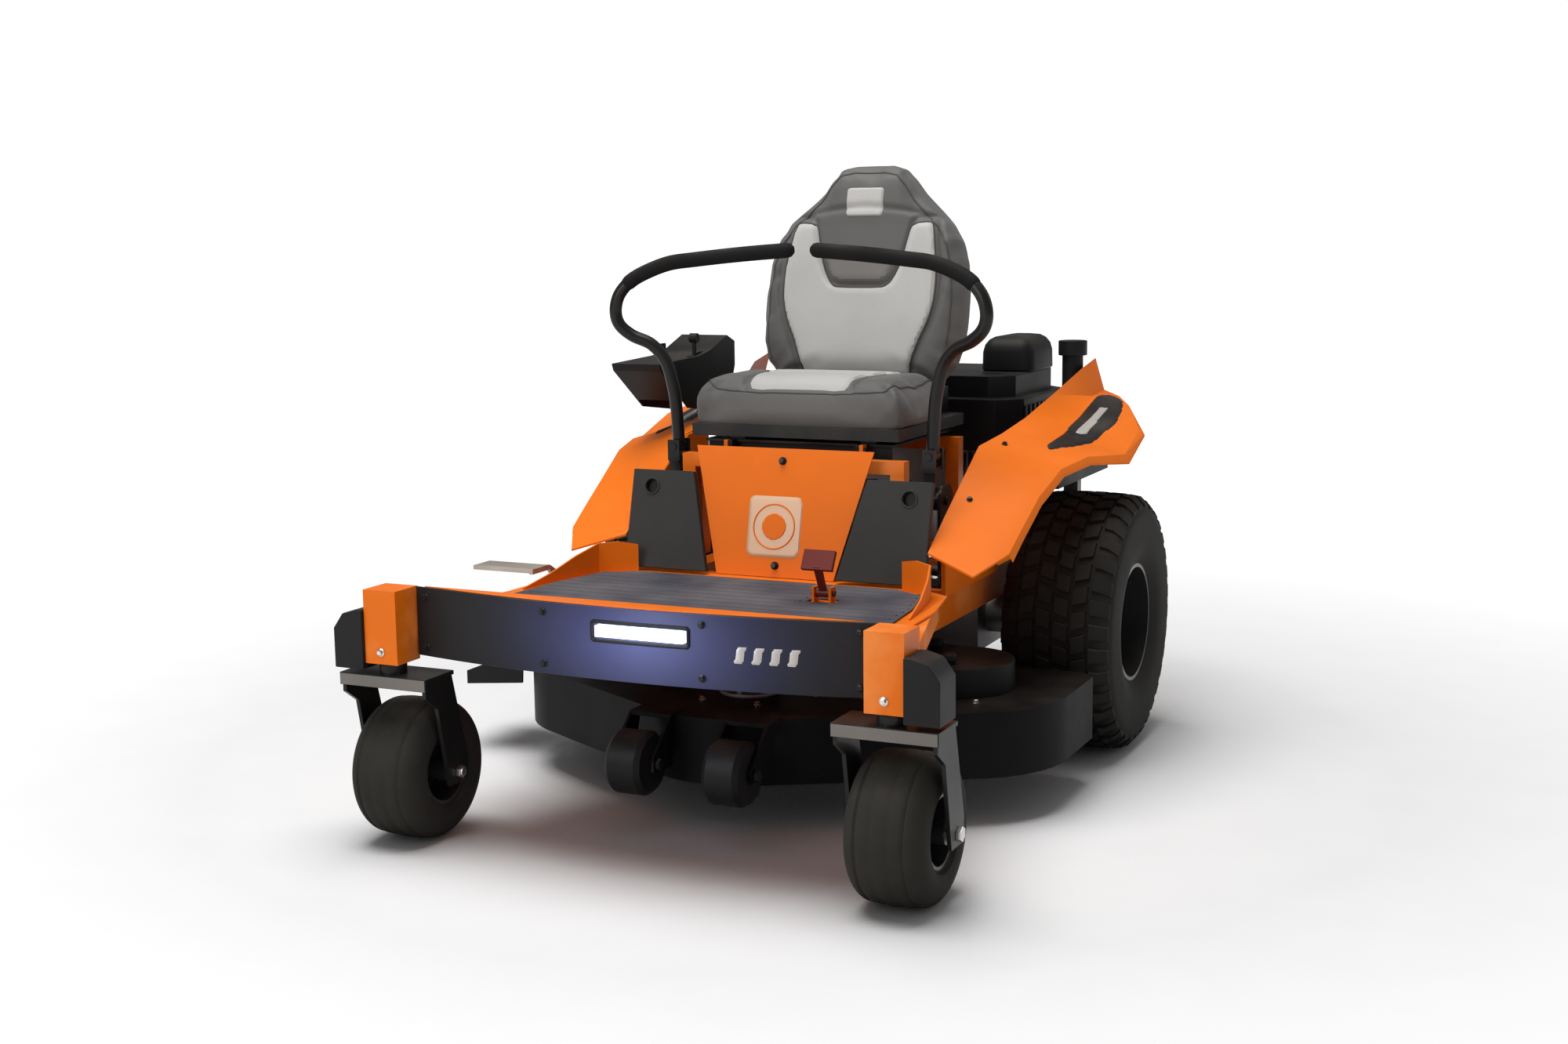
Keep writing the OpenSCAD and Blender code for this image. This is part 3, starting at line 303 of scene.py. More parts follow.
def shading_group(degrees):
    """Smooth shading everywhere, except on edges sharper than this angle."""
    tree = bpy.data.node_groups.new("soft_shading", "GeometryNodeTree")
    for way in ("INPUT", "OUTPUT"):
        tree.interface.new_socket("Geometry", in_out=way, socket_type="NodeSocketGeometry")
    source = node(tree, "NodeGroupInput").outputs[0]
    plain = node(tree, "GeometryNodeRemoveAttribute", {0: source, "Name": "custom_normal"})
    smooth = node(tree, "GeometryNodeSetShadeSmooth", {0: plain.outputs[0]})
    bend = node(tree, "GeometryNodeInputMeshEdgeAngle").outputs[0]
    sharp = node(tree, "FunctionNodeCompare", {0: bend, 1: math.radians(degrees)},
                 operation="GREATER_THAN").outputs[0]
    edged = node(tree, "GeometryNodeSetShadeSmooth", {0: smooth.outputs[0], "Selection": sharp,
                                                      "Shade Smooth": False}, domain="EDGE")
    node(tree, "NodeGroupOutput", {0: edged.outputs[0]})
    return tree


SOFT_SHADING = shading_group(34)
BEVEL_FROM, FLAT_WITHIN = math.radians(38), math.radians(0.6)


def soften(piece, width, clean=False):
    """Rounds the sharp edges by this width; clean first joins a CAD mesh's split faces."""
    if clean:
        modify(piece, "WELD", merge_threshold=2e-5)
        modify(piece, "DECIMATE", decimate_type="DISSOLVE", angle_limit=FLAT_WITHIN)
    if width:
        modify(piece, "BEVEL", width=width, segments=2, limit_method="ANGLE",
               angle_limit=BEVEL_FROM)
    modify(piece, "NODES", node_group=SOFT_SHADING)
    if width:
        modify(piece, "WEIGHTED_NORMAL", keep_sharp=True)


class Lean:
    """A plane that leans back from a level line; points on it are x, along and out."""

    def __init__(self, y, z, degrees):
        angle = math.radians(degrees)
        self.base = at(0, y, z)
        self.up = Vector((0, math.sin(angle), math.cos(angle)))
        self.out = Vector((0, -math.cos(angle), math.sin(angle)))

    def point(self, x, along, out=0.0):
        return self.base + Vector((x, 0, 0)) + self.up * along + self.out * out

    def ray(self, x, along):
        return self.point(x, along, 0.3), -self.out


# ---- mesh tools


def finish_piece(name, verts, faces, body, look, bevel=0.0, replaces=()):
    """A shown piece that rides on a body."""
    mesh = bpy.data.meshes.new(name)
    mesh.from_pydata([tuple(v) for v in verts], [], faces)
    mesh.validate()
    mesh.materials.append(LOOK[look])
    piece = show(name, mesh)
    soften(piece, bevel)
    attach(piece, body)
    if replaces:
        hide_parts(*replaces)
    return piece


def axes(direction):
    """Two unit vectors square to this direction."""
    forward = Vector(direction).normalized()
    helper = Vector((0, 0, 1)) if abs(forward.z) < 0.9 else Vector((1, 0, 0))
    side = forward.cross(helper).normalized()
    return side, side.cross(forward).normalized()


class Shapes:
    """Gathers closed shapes of one finish that move together."""

    def __init__(self):
        self.verts = []
        self.faces = []

    def rings(self, rings, closed=False, caps=True):
        """Skins a row of rings that have equal numbers of points."""
        first = len(self.verts)
        count = len(rings[0])
        for ring in rings:
            self.verts += [Vector(point) for point in ring]
        last = len(rings) if closed else len(rings) - 1
        for i in range(last):
            a = first + i * count
            b = first + ((i + 1) % len(rings)) * count
            for j in range(count):
                k = (j + 1) % count
                self.faces.append([a + j, a + k, b + k, b + j])
        if caps and not closed:
            self.faces.append([first + j for j in reversed(range(count))])
            self.faces.append([first + last * count + j for j in range(count)])
        return self

    def lathe(self, profile, centre, axis, steps=32, caps=True, closed=False):
        """Turns [along, radius] points about an axis; closed joins the last one to the first."""
        forward = Vector(axis).normalized()
        side, up = axes(axis)
        spokes = [side * math.cos(t) + up * math.sin(t) for t in turns(steps)]
        rings = [[Vector(centre) + forward * along + spoke * radius for spoke in spokes]
                 for along, radius in profile]
        return self.rings(rings, closed=closed, caps=caps)

    def tube(self, path, radius, sides=12):
        """A tube with rounded ends along a path."""
        points = [Vector(p) for p in path]
        tangents = [(points[min(i + 1, len(points) - 1)] - points[max(i - 1, 0)]).normalized()
                    for i in range(len(points))]
        side, up = axes(tangents[0])
        rings = []
        for point, tangent in zip(points, tangents):
            side = (side - tangent * side.dot(tangent)).normalized()
            up = tangent.cross(side)
            rings.append([point + (side * math.cos(t) + up * math.sin(t)) * radius
                          for t in turns(sides)])
        for end, way in ((0, -1), (-1, 1)):
            rim, centre = rings[end], points[end]
            for share, inset in ((0.5, 0.87), (0.87, 0.5)):
                shift = tangents[end] * way * radius * share
                ring = [centre + shift + (p - centre) * inset for p in rim]
                rings.insert(0 if way < 0 else len(rings), ring)
        return self.rings(rings)

    def rod(self, start, end, radius, centre, axis, steps):
        """A round bar from start to end along an axis through the centre."""
        return self.lathe([[start, radius], [end, radius]], centre, axis, steps=steps)

    def bolt(self, place, direction, size=0.006):
        """A flanged hexagon head with a domed face."""
        forward = Vector(direction).normalized()
        self.lathe([[0, size * 1.3], [size * 0.25, size * 1.3], [size * 0.4, size * 1.05]],
                   place, forward, steps=18)
        start = Vector(place) + forward * size * 0.35
        self.lathe([[0, size], [size * 0.75, size], [size * 0.95, size * 0.78]], start, forward,
                   steps=6)
        return self

    def piece(self, name, body, look, slot=None, bevel=0.0, replaces=()):
        return finish_piece(name, self.verts, self.faces, body, look, bevel, replaces)


CURVE_STEPS = 8


def smooth_path(points, steps=CURVE_STEPS):
    """A Catmull-Rom curve through the points."""
    points = [Vector(p) for p in points]
    padded = [points[0] * 2 - points[1]] + points + [points[-1] * 2 - points[-2]]
    curve = []
    for i in range(1, len(padded) - 2):
        a, b, c, d = padded[i - 1:i + 3]
        for k in range(steps):
            t = k / steps
            curve.append(0.5 * (b * 2 + (c - a) * t + (a * 2 - b * 5 + c * 4 - d) * t * t
                                + (b * 3 - a - c * 3 + d) * t ** 3))
    return curve + [points[-1]]


def rounded(outline, passes=3):
    """Cuts the corners of a closed outline again and again, until they are round."""
    points = [Vector(p) for p in outline]
    for _ in range(passes):
        cut = []
        for i, point in enumerate(points):
            after = points[(i + 1) % len(points)]
            cut += [point.lerp(after, 0.25), point.lerp(after, 0.75)]
        points = cut
    return points


def dense(outline, spacing):
    """Adds points along the sides of a closed outline."""
    made = []
    for i, point in enumerate(outline):
        after = outline[(i + 1) % len(outline)]
        count = max(1, round((after - point).length / spacing))
        made += [point.lerp(after, k / count) for k in range(count)]
    return made


def tree_of(piece):
    """A ray tracing tree of the piece as it is shown."""
    graph = bpy.context.evaluated_depsgraph_get()
    return BVHTree.FromObject(piece, graph)


def edge_distance(points, outline):
    """How far each point is inside of the outline's sides."""
    points = np.array([tuple(p) for p in points])
    starts = np.array([tuple(p) for p in outline])
    ways = np.roll(starts, -1, axis=0) - starts
    gaps = points[:, None, :] - starts[None]
    along = np.clip((gaps * ways).sum(2) / (ways ** 2).sum(1), 0, 1)
    return np.linalg.norm(gaps - along[:, :, None] * ways, axis=2).min(1)


SUNK = 0.0015


def patch(name, outline, target, plane, height, edge, body, look, spacing=0.006):
    """A raised panel that lies on a surface, its rim sunk in it and its edge rounded.

    plane gives the start and the direction of the ray for a point of the outline.
    """
    outline = dense(outline, spacing)
    area = sum(a.x * b.y - b.x * a.y for a, b in zip(outline, outline[1:] + outline[:1]))
    if area < 0:
        outline.reverse()
    low = [min(p[i] for p in outline) for i in range(2)]
    high = [max(p[i] for p in outline) for i in range(2)]
    grid = [Vector((a, b)) for a in np.arange(low[0], high[0], spacing)
            for b in np.arange(low[1], high[1], spacing)]
    gaps = edge_distance(grid, outline)
    inside = [p for p, gap in zip(grid, gaps) if gap > spacing * 0.6]
    flat, _, faces = geometry.delaunay_2d_cdt(
        outline + inside, [], [list(range(len(outline)))], 1, 1e-6)[:3]
    gaps = edge_distance(flat, outline)
    verts = []
    for point, gap in zip(flat, gaps):
        start, direction = plane(point.x, point.y)
        hit, normal = target.ray_cast(start, direction)[:2]
        if hit is None:
            hit, normal = target.find_nearest(start)[:2]
        if normal.dot(direction) > 0:
            normal = -normal
        share = min(gap / edge, 1)
        rise = -SUNK + (height + SUNK) * math.sqrt(1 - (1 - share) ** 2)
        verts.append(hit - direction * rise)
    return finish_piece(name, verts, [list(f) for f in faces], body, look)


def drape(path, target, plane, lift, closed=False):
    """Points of a flat path laid on a surface; closed brings it back to its start."""
    laid = []
    for point in path + path[:1] if closed else path:
        start, direction = plane(point.x, point.y)
        hit = target.ray_cast(start, direction)[0]
        if hit is not None:
            laid.append(hit - direction * lift)
    return laid


# ---- CAD nodes that stay

# for each look, the CAD nodes that wear it, by the radius of their edges
KEPT = {
    "orange_paint": {0.0012: "floor_pan", 0.0015: "main_frame"},
    "orange_plastic": {0.0015: "fender_*", 0.003: "center_panel"},
    "bronze": {0.0004: "kingpin_bushes"},
    "panel_plastic": {0.003: "front_panel"},
    "led_lens": {0.001: "headlight"},
    "rubber_mat": {0.002: "floor_mat"},
    "grey_plastic": {0.004: "foot_pads"},
    "black_plastic": {
        0.001: "ignition_key", 0.002: "discharge_chute throttle_lever fuel_cap",
        0.003: "battery belt_covers anti_scalp_wheel_*", 0.006: "control_console engine_shroud",
        0.01: "fuel_tank"},
    "black_paint": {
        0.001: "seat_plate", 0.0012: "lever_base_*", 0.0015: "lever_brackets",
        0.002: "rear_guard caster_fork_*", 0.006: "seat_pan"},
    "deck_paint": {0.002: "deck_shell"},
    "rim_paint": {0.0015: "caster_rim_*", 0.002: "rear_rim_*"},
    "cast_metal": {0.002: "engine_block spindle_housings", 0.004: "transaxles"},
    "exhaust_steel": {0.003: "muffler"},
    "belt_rubber": {0.001: "drive_belt deck_belt"},
    "red_plastic": {0.002: "brake_pedal"},
    "steel_plate": {0.001: "lift_pedal"},
    "blade_steel": {0.0006: "blade_*"},
    "bright_steel": {0.0006: "deck_idlers", 0.001: "engine_pulley caster_axle_* rear_hub_*"},
}


def dress(name, look, width):
    for slot in NODES[name].material_slots:
        slot.material = LOOK[look]
    soften(NODES[name], width, clean=True)


for look, groups in KEPT.items():
    for width, patterns in groups.items():
        for pattern in patterns.split():
            for name in fnmatch.filter(NODES, pattern):
                dress(name, look, width)

HALO_DROP, HALO_REACH, HALO_POWER = 0.014, 0.24, 0.42
add_halo(LOOK["panel_plastic"], middle("headlight") - Vector((0, 0, HALO_DROP)), HALO_REACH,
         HALO_POWER)

# ---- tyres


CROWN_DROP = 0.006
TYRE_WALL = 0.012


def tyre_radius(along, half, radius, shoulder):
    """Outside radius of a tyre at a distance from its middle plane."""
    crown = radius - CROWN_DROP * (along / half) ** 2
    past = max(0.0, abs(along) - (half - shoulder)) / shoulder
    return crown - shoulder * 1.2 * (1 - math.sqrt(max(0.0, 1 - min(past, 1.0) ** 2)))


def tyre_body(half, radius, bead, shoulder, groove=None):
    """Closed [along, radius] outline of a tyre: crown, side walls, beads and the inside."""
    steps = 40
    crown = []
    for i in range(steps + 1):
        along = (half - 0.001) * math.sin(math.pi * (i / steps - 0.5))
        cut = groove(along) if groove else 0.0
        crown.append([along, tyre_radius(along, half, radius, shoulder) - cut])
    low = crown[-1][1]
    side = [[half, low - 0.1 * (low - bead)], [half, bead + 0.5 * (low - bead)],
            [half * 0.965, bead + 0.25 * (low - bead)], [half * 0.88, bead + 0.006],
            [half * 0.86, bead], [half * 0.74, bead]]
    inner = [[half * 0.76, bead + 0.01], [half - TYRE_WALL, bead + 0.5 * (low - bead)],
             [half - TYRE_WALL * 1.3, low - 0.01], [half * 0.55, radius - TYRE_WALL * 1.6]]
    right = side + inner
    left = [[-a, r] for a, r in reversed(right)]
    return crown + right + left


def tyre_point(along, turn, reach):
    return Vector((along, reach * math.cos(turn), reach * math.sin(turn)))


def tread_blocks(shapes, centre, half, radius, shoulder, rows, count, height):
    """Staggered blocks; a row is [inner end, outer end, slant, share of the pitch]."""
    pitch = 2 * math.pi / count
    for row, (start, end, slant, share) in enumerate(rows):
        for i in range(count):
            angle = (i + 0.5 * (row % 2)) * pitch
            top, base = [], []
            for u in (0.0, 0.5, 1.0):
                along = start + (end - start) * u
                reach = tyre_radius(along, half, radius, shoulder)
                for v in (-0.5, 0.5):
                    turn = angle + pitch * (share * v + slant * (u - 0.5))
                    top.append(centre + tyre_point(along, turn, reach))
                    base.append(centre + tyre_point(along, turn + pitch * 0.05 * v, reach - height))
            loop = [0, 1, 3, 5, 4, 2]
            shapes.rings([[base[k] for k in loop], [top[k] for k in loop]])


REAR_HALF, REAR_SHOULDER, REAR_BEAD = 0.122, 0.034, 0.127
TREAD, TREAD_COUNT = 0.008, 34
CASTER_HALF, CASTER_SHOULDER, CASTER_BEAD = 0.0745, 0.03, 0.064
GROOVES, GROOVE_WIDTH, GROOVE_DEPTH = (0.015, 0.043), 0.0028, 0.003
WALL_RINGS, RING_HALF = (0.19, 0.205), 0.004
REAR_ROWS = [[-0.117, -0.080, 0.10, 0.62], [-0.072, -0.042, -0.16, 0.66],
             [-0.034, -0.004, 0.16, 0.66], [0.004, 0.034, 0.16, 0.66],
             [0.042, 0.072, -0.16, 0.66], [0.080, 0.117, 0.10, 0.62]]


def caster_groove(along):
    """Depth of the four grooves round a caster tyre."""
    gap = min(abs(abs(along) - place) for place in GROOVES)
    return GROOVE_DEPTH * math.exp(-(gap / GROOVE_WIDTH) ** 2)


def tyre_middle(name):
    """The middle and the radius of a tyre node."""
    low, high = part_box(name)
    return (low + high) / 2, (high.z - low.z) / 2


for side, way in SIDES.items():
    centre, radius = tyre_middle("rear_tyre_" + side)
    shapes = Shapes()
    carcass = tyre_body(REAR_HALF, radius - TREAD, REAR_BEAD, REAR_SHOULDER)
    shapes.lathe(carcass, centre, (1, 0, 0), steps=96, closed=True)
    tread_blocks(shapes, centre, REAR_HALF, radius, REAR_SHOULDER, REAR_ROWS, TREAD_COUNT,
                 TREAD + 0.002)
    for ring in WALL_RINGS:
        shapes.lathe([[-REAR_HALF - 0.0002, ring - RING_HALF], [-REAR_HALF - 0.0016, ring],
                      [-REAR_HALF - 0.0002, ring + RING_HALF]], centre, (way, 0, 0), steps=96,
                     closed=True)
    shapes.piece(f"rear_tyre_look_{side}", f"rear_wheel_{side}", "tyre_rubber", bevel=0.0008,
                 replaces=["rear_tyre_" + side])
    centre, radius = tyre_middle("caster_tyre_" + side)
    profile = tyre_body(CASTER_HALF, radius, CASTER_BEAD, CASTER_SHOULDER, caster_groove)
    Shapes().lathe(profile, centre, (1, 0, 0), steps=80, closed=True).piece(
        f"caster_tyre_look_{side}", f"caster_wheel_{side}", "caster_rubber", "tyre_rubber",
        replaces=["caster_tyre_" + side])

# ---- steering levers

LEVER_PATH = [
    (0.292, -0.440, 0.700), (0.295, -0.441, 0.760), (0.301, -0.443, 0.815),
    (0.316, -0.448, 0.872), (0.345, -0.457, 0.908), (0.385, -0.468, 0.927),
    (0.411, -0.476, 0.950), (0.419, -0.478, 0.978), (0.411, -0.477, 1.012),
    (0.388, -0.472, 1.040), (0.355, -0.465, 1.060), (0.300, -0.457, 1.080),
    (0.240, -0.450, 1.088), (0.140, -0.441, 1.098), (0.034, -0.430, 1.106),
]
GRIP_START = 9
LEVER_RADIUS, GRIP_RADIUS = 0.0135, 0.0158
SWING_PIVOT = (0.292, -0.440, 0.690)
for side, way in SIDES.items():
    path = smooth_path([at(way * x, y, z) for x, y, z in LEVER_PATH])
    shapes = Shapes().tube(path, LEVER_RADIUS, sides=20)
    pivot = at(way * SWING_PIVOT[0], *SWING_PIVOT[1:])
    shapes.rod(-0.017, 0.017, 0.0125, pivot, (0, 1, 0), 24)
    shapes.rod(-0.0285, 0.0285, 0.0078, pivot, (0, 1, 0), 20)
    shapes.piece(f"lever_look_{side}", f"lever_{side}", "black_paint",
                 replaces=["lever_tube_" + side])
    Shapes().tube(path[GRIP_START * CURVE_STEPS:], GRIP_RADIUS, sides=20).piece(
        f"lever_grip_{side}", f"lever_{side}", "foam_grip", "rubber_mat")

# ---- seat

BACK = Lean(-0.096, 0.824, 12.5)
BACK_LONG = 0.4568
BACK_HALF = [[0.190, -0.05], [0.222, 0.03], [0.236, 0.13], [0.241, 0.24], [0.241, 0.38],
             [0.234, 0.52], [0.219, 0.63], [0.192, 0.72], [0.157, 0.79], [0.122, 0.86],
             [0.099, 0.93], [0.074, 0.985], [0.040, 1.0]]
CUSHION_LOW, CUSHION_HIGH = 0.744, 0.842
CUSHION_HALF, CUSHION_FRONT, CUSHION_REAR = 0.240, -0.490, -0.118
CUSHION_CHANNELS, FRONT_SEAM = (-0.36, -0.27), -0.466
SWELL, PRESSURE, RELAX = 0.016, 4.0, 12
SEAM = 0.006


def evaluated(piece):
    graph = bpy.context.evaluated_depsgraph_get()
    return bpy.data.meshes.new_from_object(piece.evaluated_get(graph))


def coordinates(mesh):
    values = np.zeros(len(mesh.vertices) * 3)
    mesh.vertices.foreach_get("co", values)
    return values.reshape(-1, 3)


def inflate(verts, faces, held, voxel=0.006, frames=20):
    """Swells a padded shape as cloth under pressure, and returns its mesh.

    held says which points stay put; no point moves by more than SWELL.
    """
    mesh = bpy.data.meshes.new("pad")
    mesh.from_pydata([tuple(v) for v in verts], [], faces)
    pad = show("pad", mesh)
    scene = bpy.context.scene
    modify(pad, "REMESH", mode="VOXEL", voxel_size=voxel)
    mesh = evaluated(pad)
    pad.modifiers.clear()
    pad.data = mesh
    start = coordinates(mesh)
    stay = held(start)
    group = pad.vertex_groups.new(name="held")
    group.add([int(i) for i in np.nonzero(stay)[0]], 1.0, "REPLACE")
    cloth = pad.modifiers.new("cloth", "CLOTH")
    cloth.settings.use_pressure = True
    cloth.settings.uniform_pressure_force = PRESSURE
    cloth.settings.vertex_group_mass = "held"
    cloth.settings.effector_weights.gravity = 0.0
    cloth.settings.quality = 4
    cloth.point_cache.frame_start = 1
    cloth.point_cache.frame_end = frames
    for number in range(frames):
        scene.frame_set(number + 1)
    shift = coordinates(evaluated(pad)) - start
    pad.modifiers.clear()
    scene.frame_set(1)
    length = np.linalg.norm(shift, axis=1, keepdims=True)
    shift *= SWELL * np.tanh(length / SWELL) / np.maximum(length, 1e-9)
    shift[stay] = 0
    mesh.vertices.foreach_set("co", (start + shift).ravel())
    bpy.data.objects.remove(pad)
    return mesh


def fit(points, node_name):
    """Stretches a pad to the width and the top of the CAD node that it stands for."""
    low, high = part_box(node_name)
    for axis, bottom in ((0, low.x), (2, points[:, 2].min())):
        start, end = points[:, axis].min(), points[:, axis].max()
        share = (points[:, axis] - start) / (end - start)
        points[:, axis] = bottom + share * (high[axis] - bottom)
    return points


def pad_piece(name, mesh, look, replaces, shape):
    """Turns a swollen mesh into a shown piece, after one subdivision and a reshaping."""
    mesh.name = name
    piece = show(name, mesh)
    modify(piece, "SMOOTH", iterations=RELAX)
    modify(piece, "SUBSURF", levels=1, render_levels=1)
    piece.data = evaluated(piece)
    piece.modifiers.clear()
    points = coordinates(piece.data)
    points = fit(shape(points), replaces)
    piece.data.vertices.foreach_set("co", points.ravel())
    piece.data.materials.clear()
    piece.data.materials.append(LOOK[look])
    soften(piece, 0.0)
    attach(piece, "seat")
    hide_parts(replaces)
    return piece


def cushion_outline(inset):
    """Top view of the cushion: wide, with round front corners."""
    half, front, rear = CUSHION_HALF - inset, CUSHION_FRONT + inset, CUSHION_REAR - inset
    corners = [(-half, rear), (-half, front + 0.02), (-half + 0.03, front), (half - 0.03, front),
               (half, front + 0.02), (half, rear)]
    return rounded(corners, passes=2)


def cushion_mesh():
    low, high = CUSHION_LOW, CUSHION_HIGH - 0.014
    levels = [[low, 0.016], [low + 0.01, 0.006], [low + 0.03, 0.002], [high - 0.03, 0.002],
              [high - 0.012, 0.008], [high, 0.026]]
    shapes = Shapes().rings([[at(p.x, p.y, z) for p in cushion_outline(inset)]
                             for z, inset in levels])
    return inflate(shapes.verts, shapes.faces, lambda p: p[:, 2] < low + 0.008)


def bump(distance, width):
    return np.exp(-(distance / width) ** 2)


def shape_cushion(points):
    """Front roll, side bolsters and the seams between them and the seating panel."""
    local = points - np.array(ORIGIN)
    x, y, z = local.T
    top = np.clip((z - CUSHION_HIGH + 0.03) / 0.02, 0, 1)
    panel = cushion_panel_half(y)
    bolster = np.clip((np.abs(x) - panel) / 0.05, 0, 1)
    rear = np.clip((y + 0.30) / 0.15, 0, 1)
    lift = 0.006 * bolster - 0.010 * rear * (1 - bolster)
    lift -= 0.006 * bump(np.abs(x) - panel, SEAM)
    lift -= 0.005 * bump(y - FRONT_SEAM, SEAM) * (np.abs(x) < panel)
    for channel in CUSHION_CHANNELS:
        lift -= 0.0035 * bump(y - channel, SEAM) * (np.abs(x) < panel)
    points[:, 2] += lift * top
    front = np.clip((-0.44 - y) / 0.03, 0, 1)
    points[:, 2] -= front * 0.010 * np.clip((CUSHION_LOW + 0.03 - z) / 0.03, 0, 1)
    return points


def cushion_panel_half(y):
    """Half width of the light seating panel, which widens towards the rear."""
    return 0.118 + 0.034 * np.clip((y + 0.47) / 0.33, 0, 1)


def back_mesh():
    outline = both_halves([[x * 0.985, s * BACK_LONG] for x, s in BACK_HALF])
    centre = BACK_LONG * 0.4
    rings = []
    for out, inset in ((0.003, 0.014), (0.010, 0.006), (0.022, 0.003), (0.044, 0.003),
                       (0.054, 0.010), (0.058, 0.022)):
        ring = []
        for x, s in outline:
            long = max(abs(x) + abs(s - centre), 1e-3)
            ring.append(BACK.point(x - inset * x / 0.24, s - inset * (s - centre) / long, out))
        rings.append(ring)
    shapes = Shapes().rings(rings)
    base = np.array(BACK.base)
    out = np.array(BACK.out)
    return inflate(shapes.verts, shapes.faces, lambda p: (p - base) @ out < 0.008)


PANEL_SIDE = [[0.122, -0.03], [0.132, 0.02], [0.152, 0.075], [0.166, 0.103], [0.176, 0.135],
              [0.181, 0.164], [0.182, 0.205], [0.178, 0.245], [0.171, 0.290], [0.164, 0.325],
              [0.155, 0.332], [0.118, 0.327], [0.110, 0.318], [0.104, 0.290], [0.098, 0.262],
              [0.090, 0.232], [0.078, 0.206], [0.066, 0.190], [0.050, 0.184]]
TAB_SIDE = [[0.048, 0.196], [0.062, 0.202], [0.074, 0.218], [0.084, 0.245], [0.092, 0.268]]


def both_halves(points):
    """A closed outline from its right half."""
    return [*points, *((-x, s) for x, s in reversed(points))]


def rectangle(left, low, right, high):
    return [Vector(p) for p in ((left, low), (right, low), (right, high), (left, high))]


PANEL, TAB = ([Vector(p) for p in both_halves(side)] for side in (PANEL_SIDE, TAB_SIDE))


def shape_back(points):
    """Bolsters beside the light panel, a seam round it and a crease under the headrest."""
    local = points - np.array(BACK.base)
    x = local[:, 0]
    s = local @ np.array(BACK.up)
    out = local @ np.array(BACK.out)
    face = np.clip((out - 0.045) / 0.015, 0, 1)
    side = np.clip((np.abs(x) - 0.13) / 0.07, 0, 1) * np.clip(1 - (s - 0.30) / 0.1, 0, 1)
    head = np.clip((s - 0.31) / 0.05, 0, 1) * np.clip((0.44 - s) / 0.03, 0, 1)
    lift = 0.009 * side + 0.003 * head - 0.003
    near = (np.abs(x) < 0.21) & (s < 0.36)
    gap = np.full(len(points), 1.0)
    flat = np.stack([x[near], s[near]], axis=1)
    gap[near] = edge_distance(flat, PANEL)
    lift -= 0.006 * bump(gap, 0.0065)
    lift -= 0.005 * bump(s - 0.350 + 0.3 * np.abs(x) ** 1.5, 0.007) * (np.abs(x) < 0.19)
    points += np.outer(lift * face, np.array(BACK.out))
    return points


def from_above(x, y):
    return at(x, y, 1.5), Vector((0, 0, -1))


cushion = pad_piece("seat_cushion_look", cushion_mesh(), "vinyl", "seat_cushion", shape_cushion)
backrest = pad_piece("seat_back_look", back_mesh(), "vinyl", "seat_back", shape_back)
cushion_tree, back_tree = tree_of(cushion), tree_of(backrest)

patch("seat_back_panel", rounded(PANEL, 1), back_tree, BACK.ray, 0.006, 0.014, "seat",
      "vinyl_light")
patch("seat_back_tab", rounded(TAB, 1), back_tree, BACK.ray, 0.005, 0.012, "seat", "vinyl_tab")
HEAD_PATCH = dense(rectangle(-0.045, 0.342, 0.045, 0.408), 0.022)
patch("seat_head_patch", rounded(HEAD_PATCH, 2), back_tree, BACK.ray, 0.003, 0.006, "seat",
      "vinyl_light", spacing=0.004)
CUSHION_ROWS = [(-0.462, -0.368), (-0.354, -0.278), (-0.264, -0.170)]
for number, (front, rear) in enumerate(CUSHION_ROWS):
    wide, wider = cushion_panel_half(front) - SEAM, cushion_panel_half(rear) - SEAM
    shape = [Vector(p) for p in ((-wide, front), (wide, front), (wider, rear), (-wider, rear))]
    patch(f"seat_cushion_panel_{number + 1}", rounded(dense(shape, 0.03), 1), cushion_tree,
          from_above, 0.005, 0.012, "seat", "vinyl_light")

welts = Shapes()
edge = dense(rounded(PANEL, 1), 0.006)
welts.tube(drape(edge, back_tree, BACK.ray, 0.0004, closed=True), 0.0018, 8)
outline = dense(cushion_outline(0.022), 0.006)
welts.tube(drape(outline, cushion_tree, from_above, 0.0), 0.0022, 8)
rim = both_halves([(x * 0.9, s * BACK_LONG * 0.97) for x, s in BACK_HALF])
rim = dense([Vector(p) for p in rim], 0.006)
welts.tube(drape([p for p in rim if p.y > 0.02], back_tree, BACK.ray, 0.0002), 0.002, 8)
welts.piece("seat_piping", "seat", "piping", "vinyl")

# ---- headlight and front panel

panel_tree = tree_of(NODES["front_panel"])
centre_tree = tree_of(NODES["center_panel"])


def from_front(x, z):
    return at(x, -1.6, z), Vector((0, 1, 0))


def slanted_bar(x, width, low, high):
    lean = 0.25 * (high - low)
    corners = [(x, low), (x + width, low), (x + width + lean, high), (x + lean, high)]
    return [Vector(p) for p in corners]


MARK_START, MARK_STEP, MARK_WIDTH = 0.215, 0.032, 0.021
MARK_LOW, MARK_HIGH = 0.413, 0.447
for number in range(4):
    outline = slanted_bar(MARK_START + MARK_STEP * number, MARK_WIDTH, MARK_LOW, MARK_HIGH)
    patch(f"front_mark_{number + 1}", outline, panel_tree, from_front, 0.0014, 0.001, "chassis",
          "mark_grey", spacing=0.005)

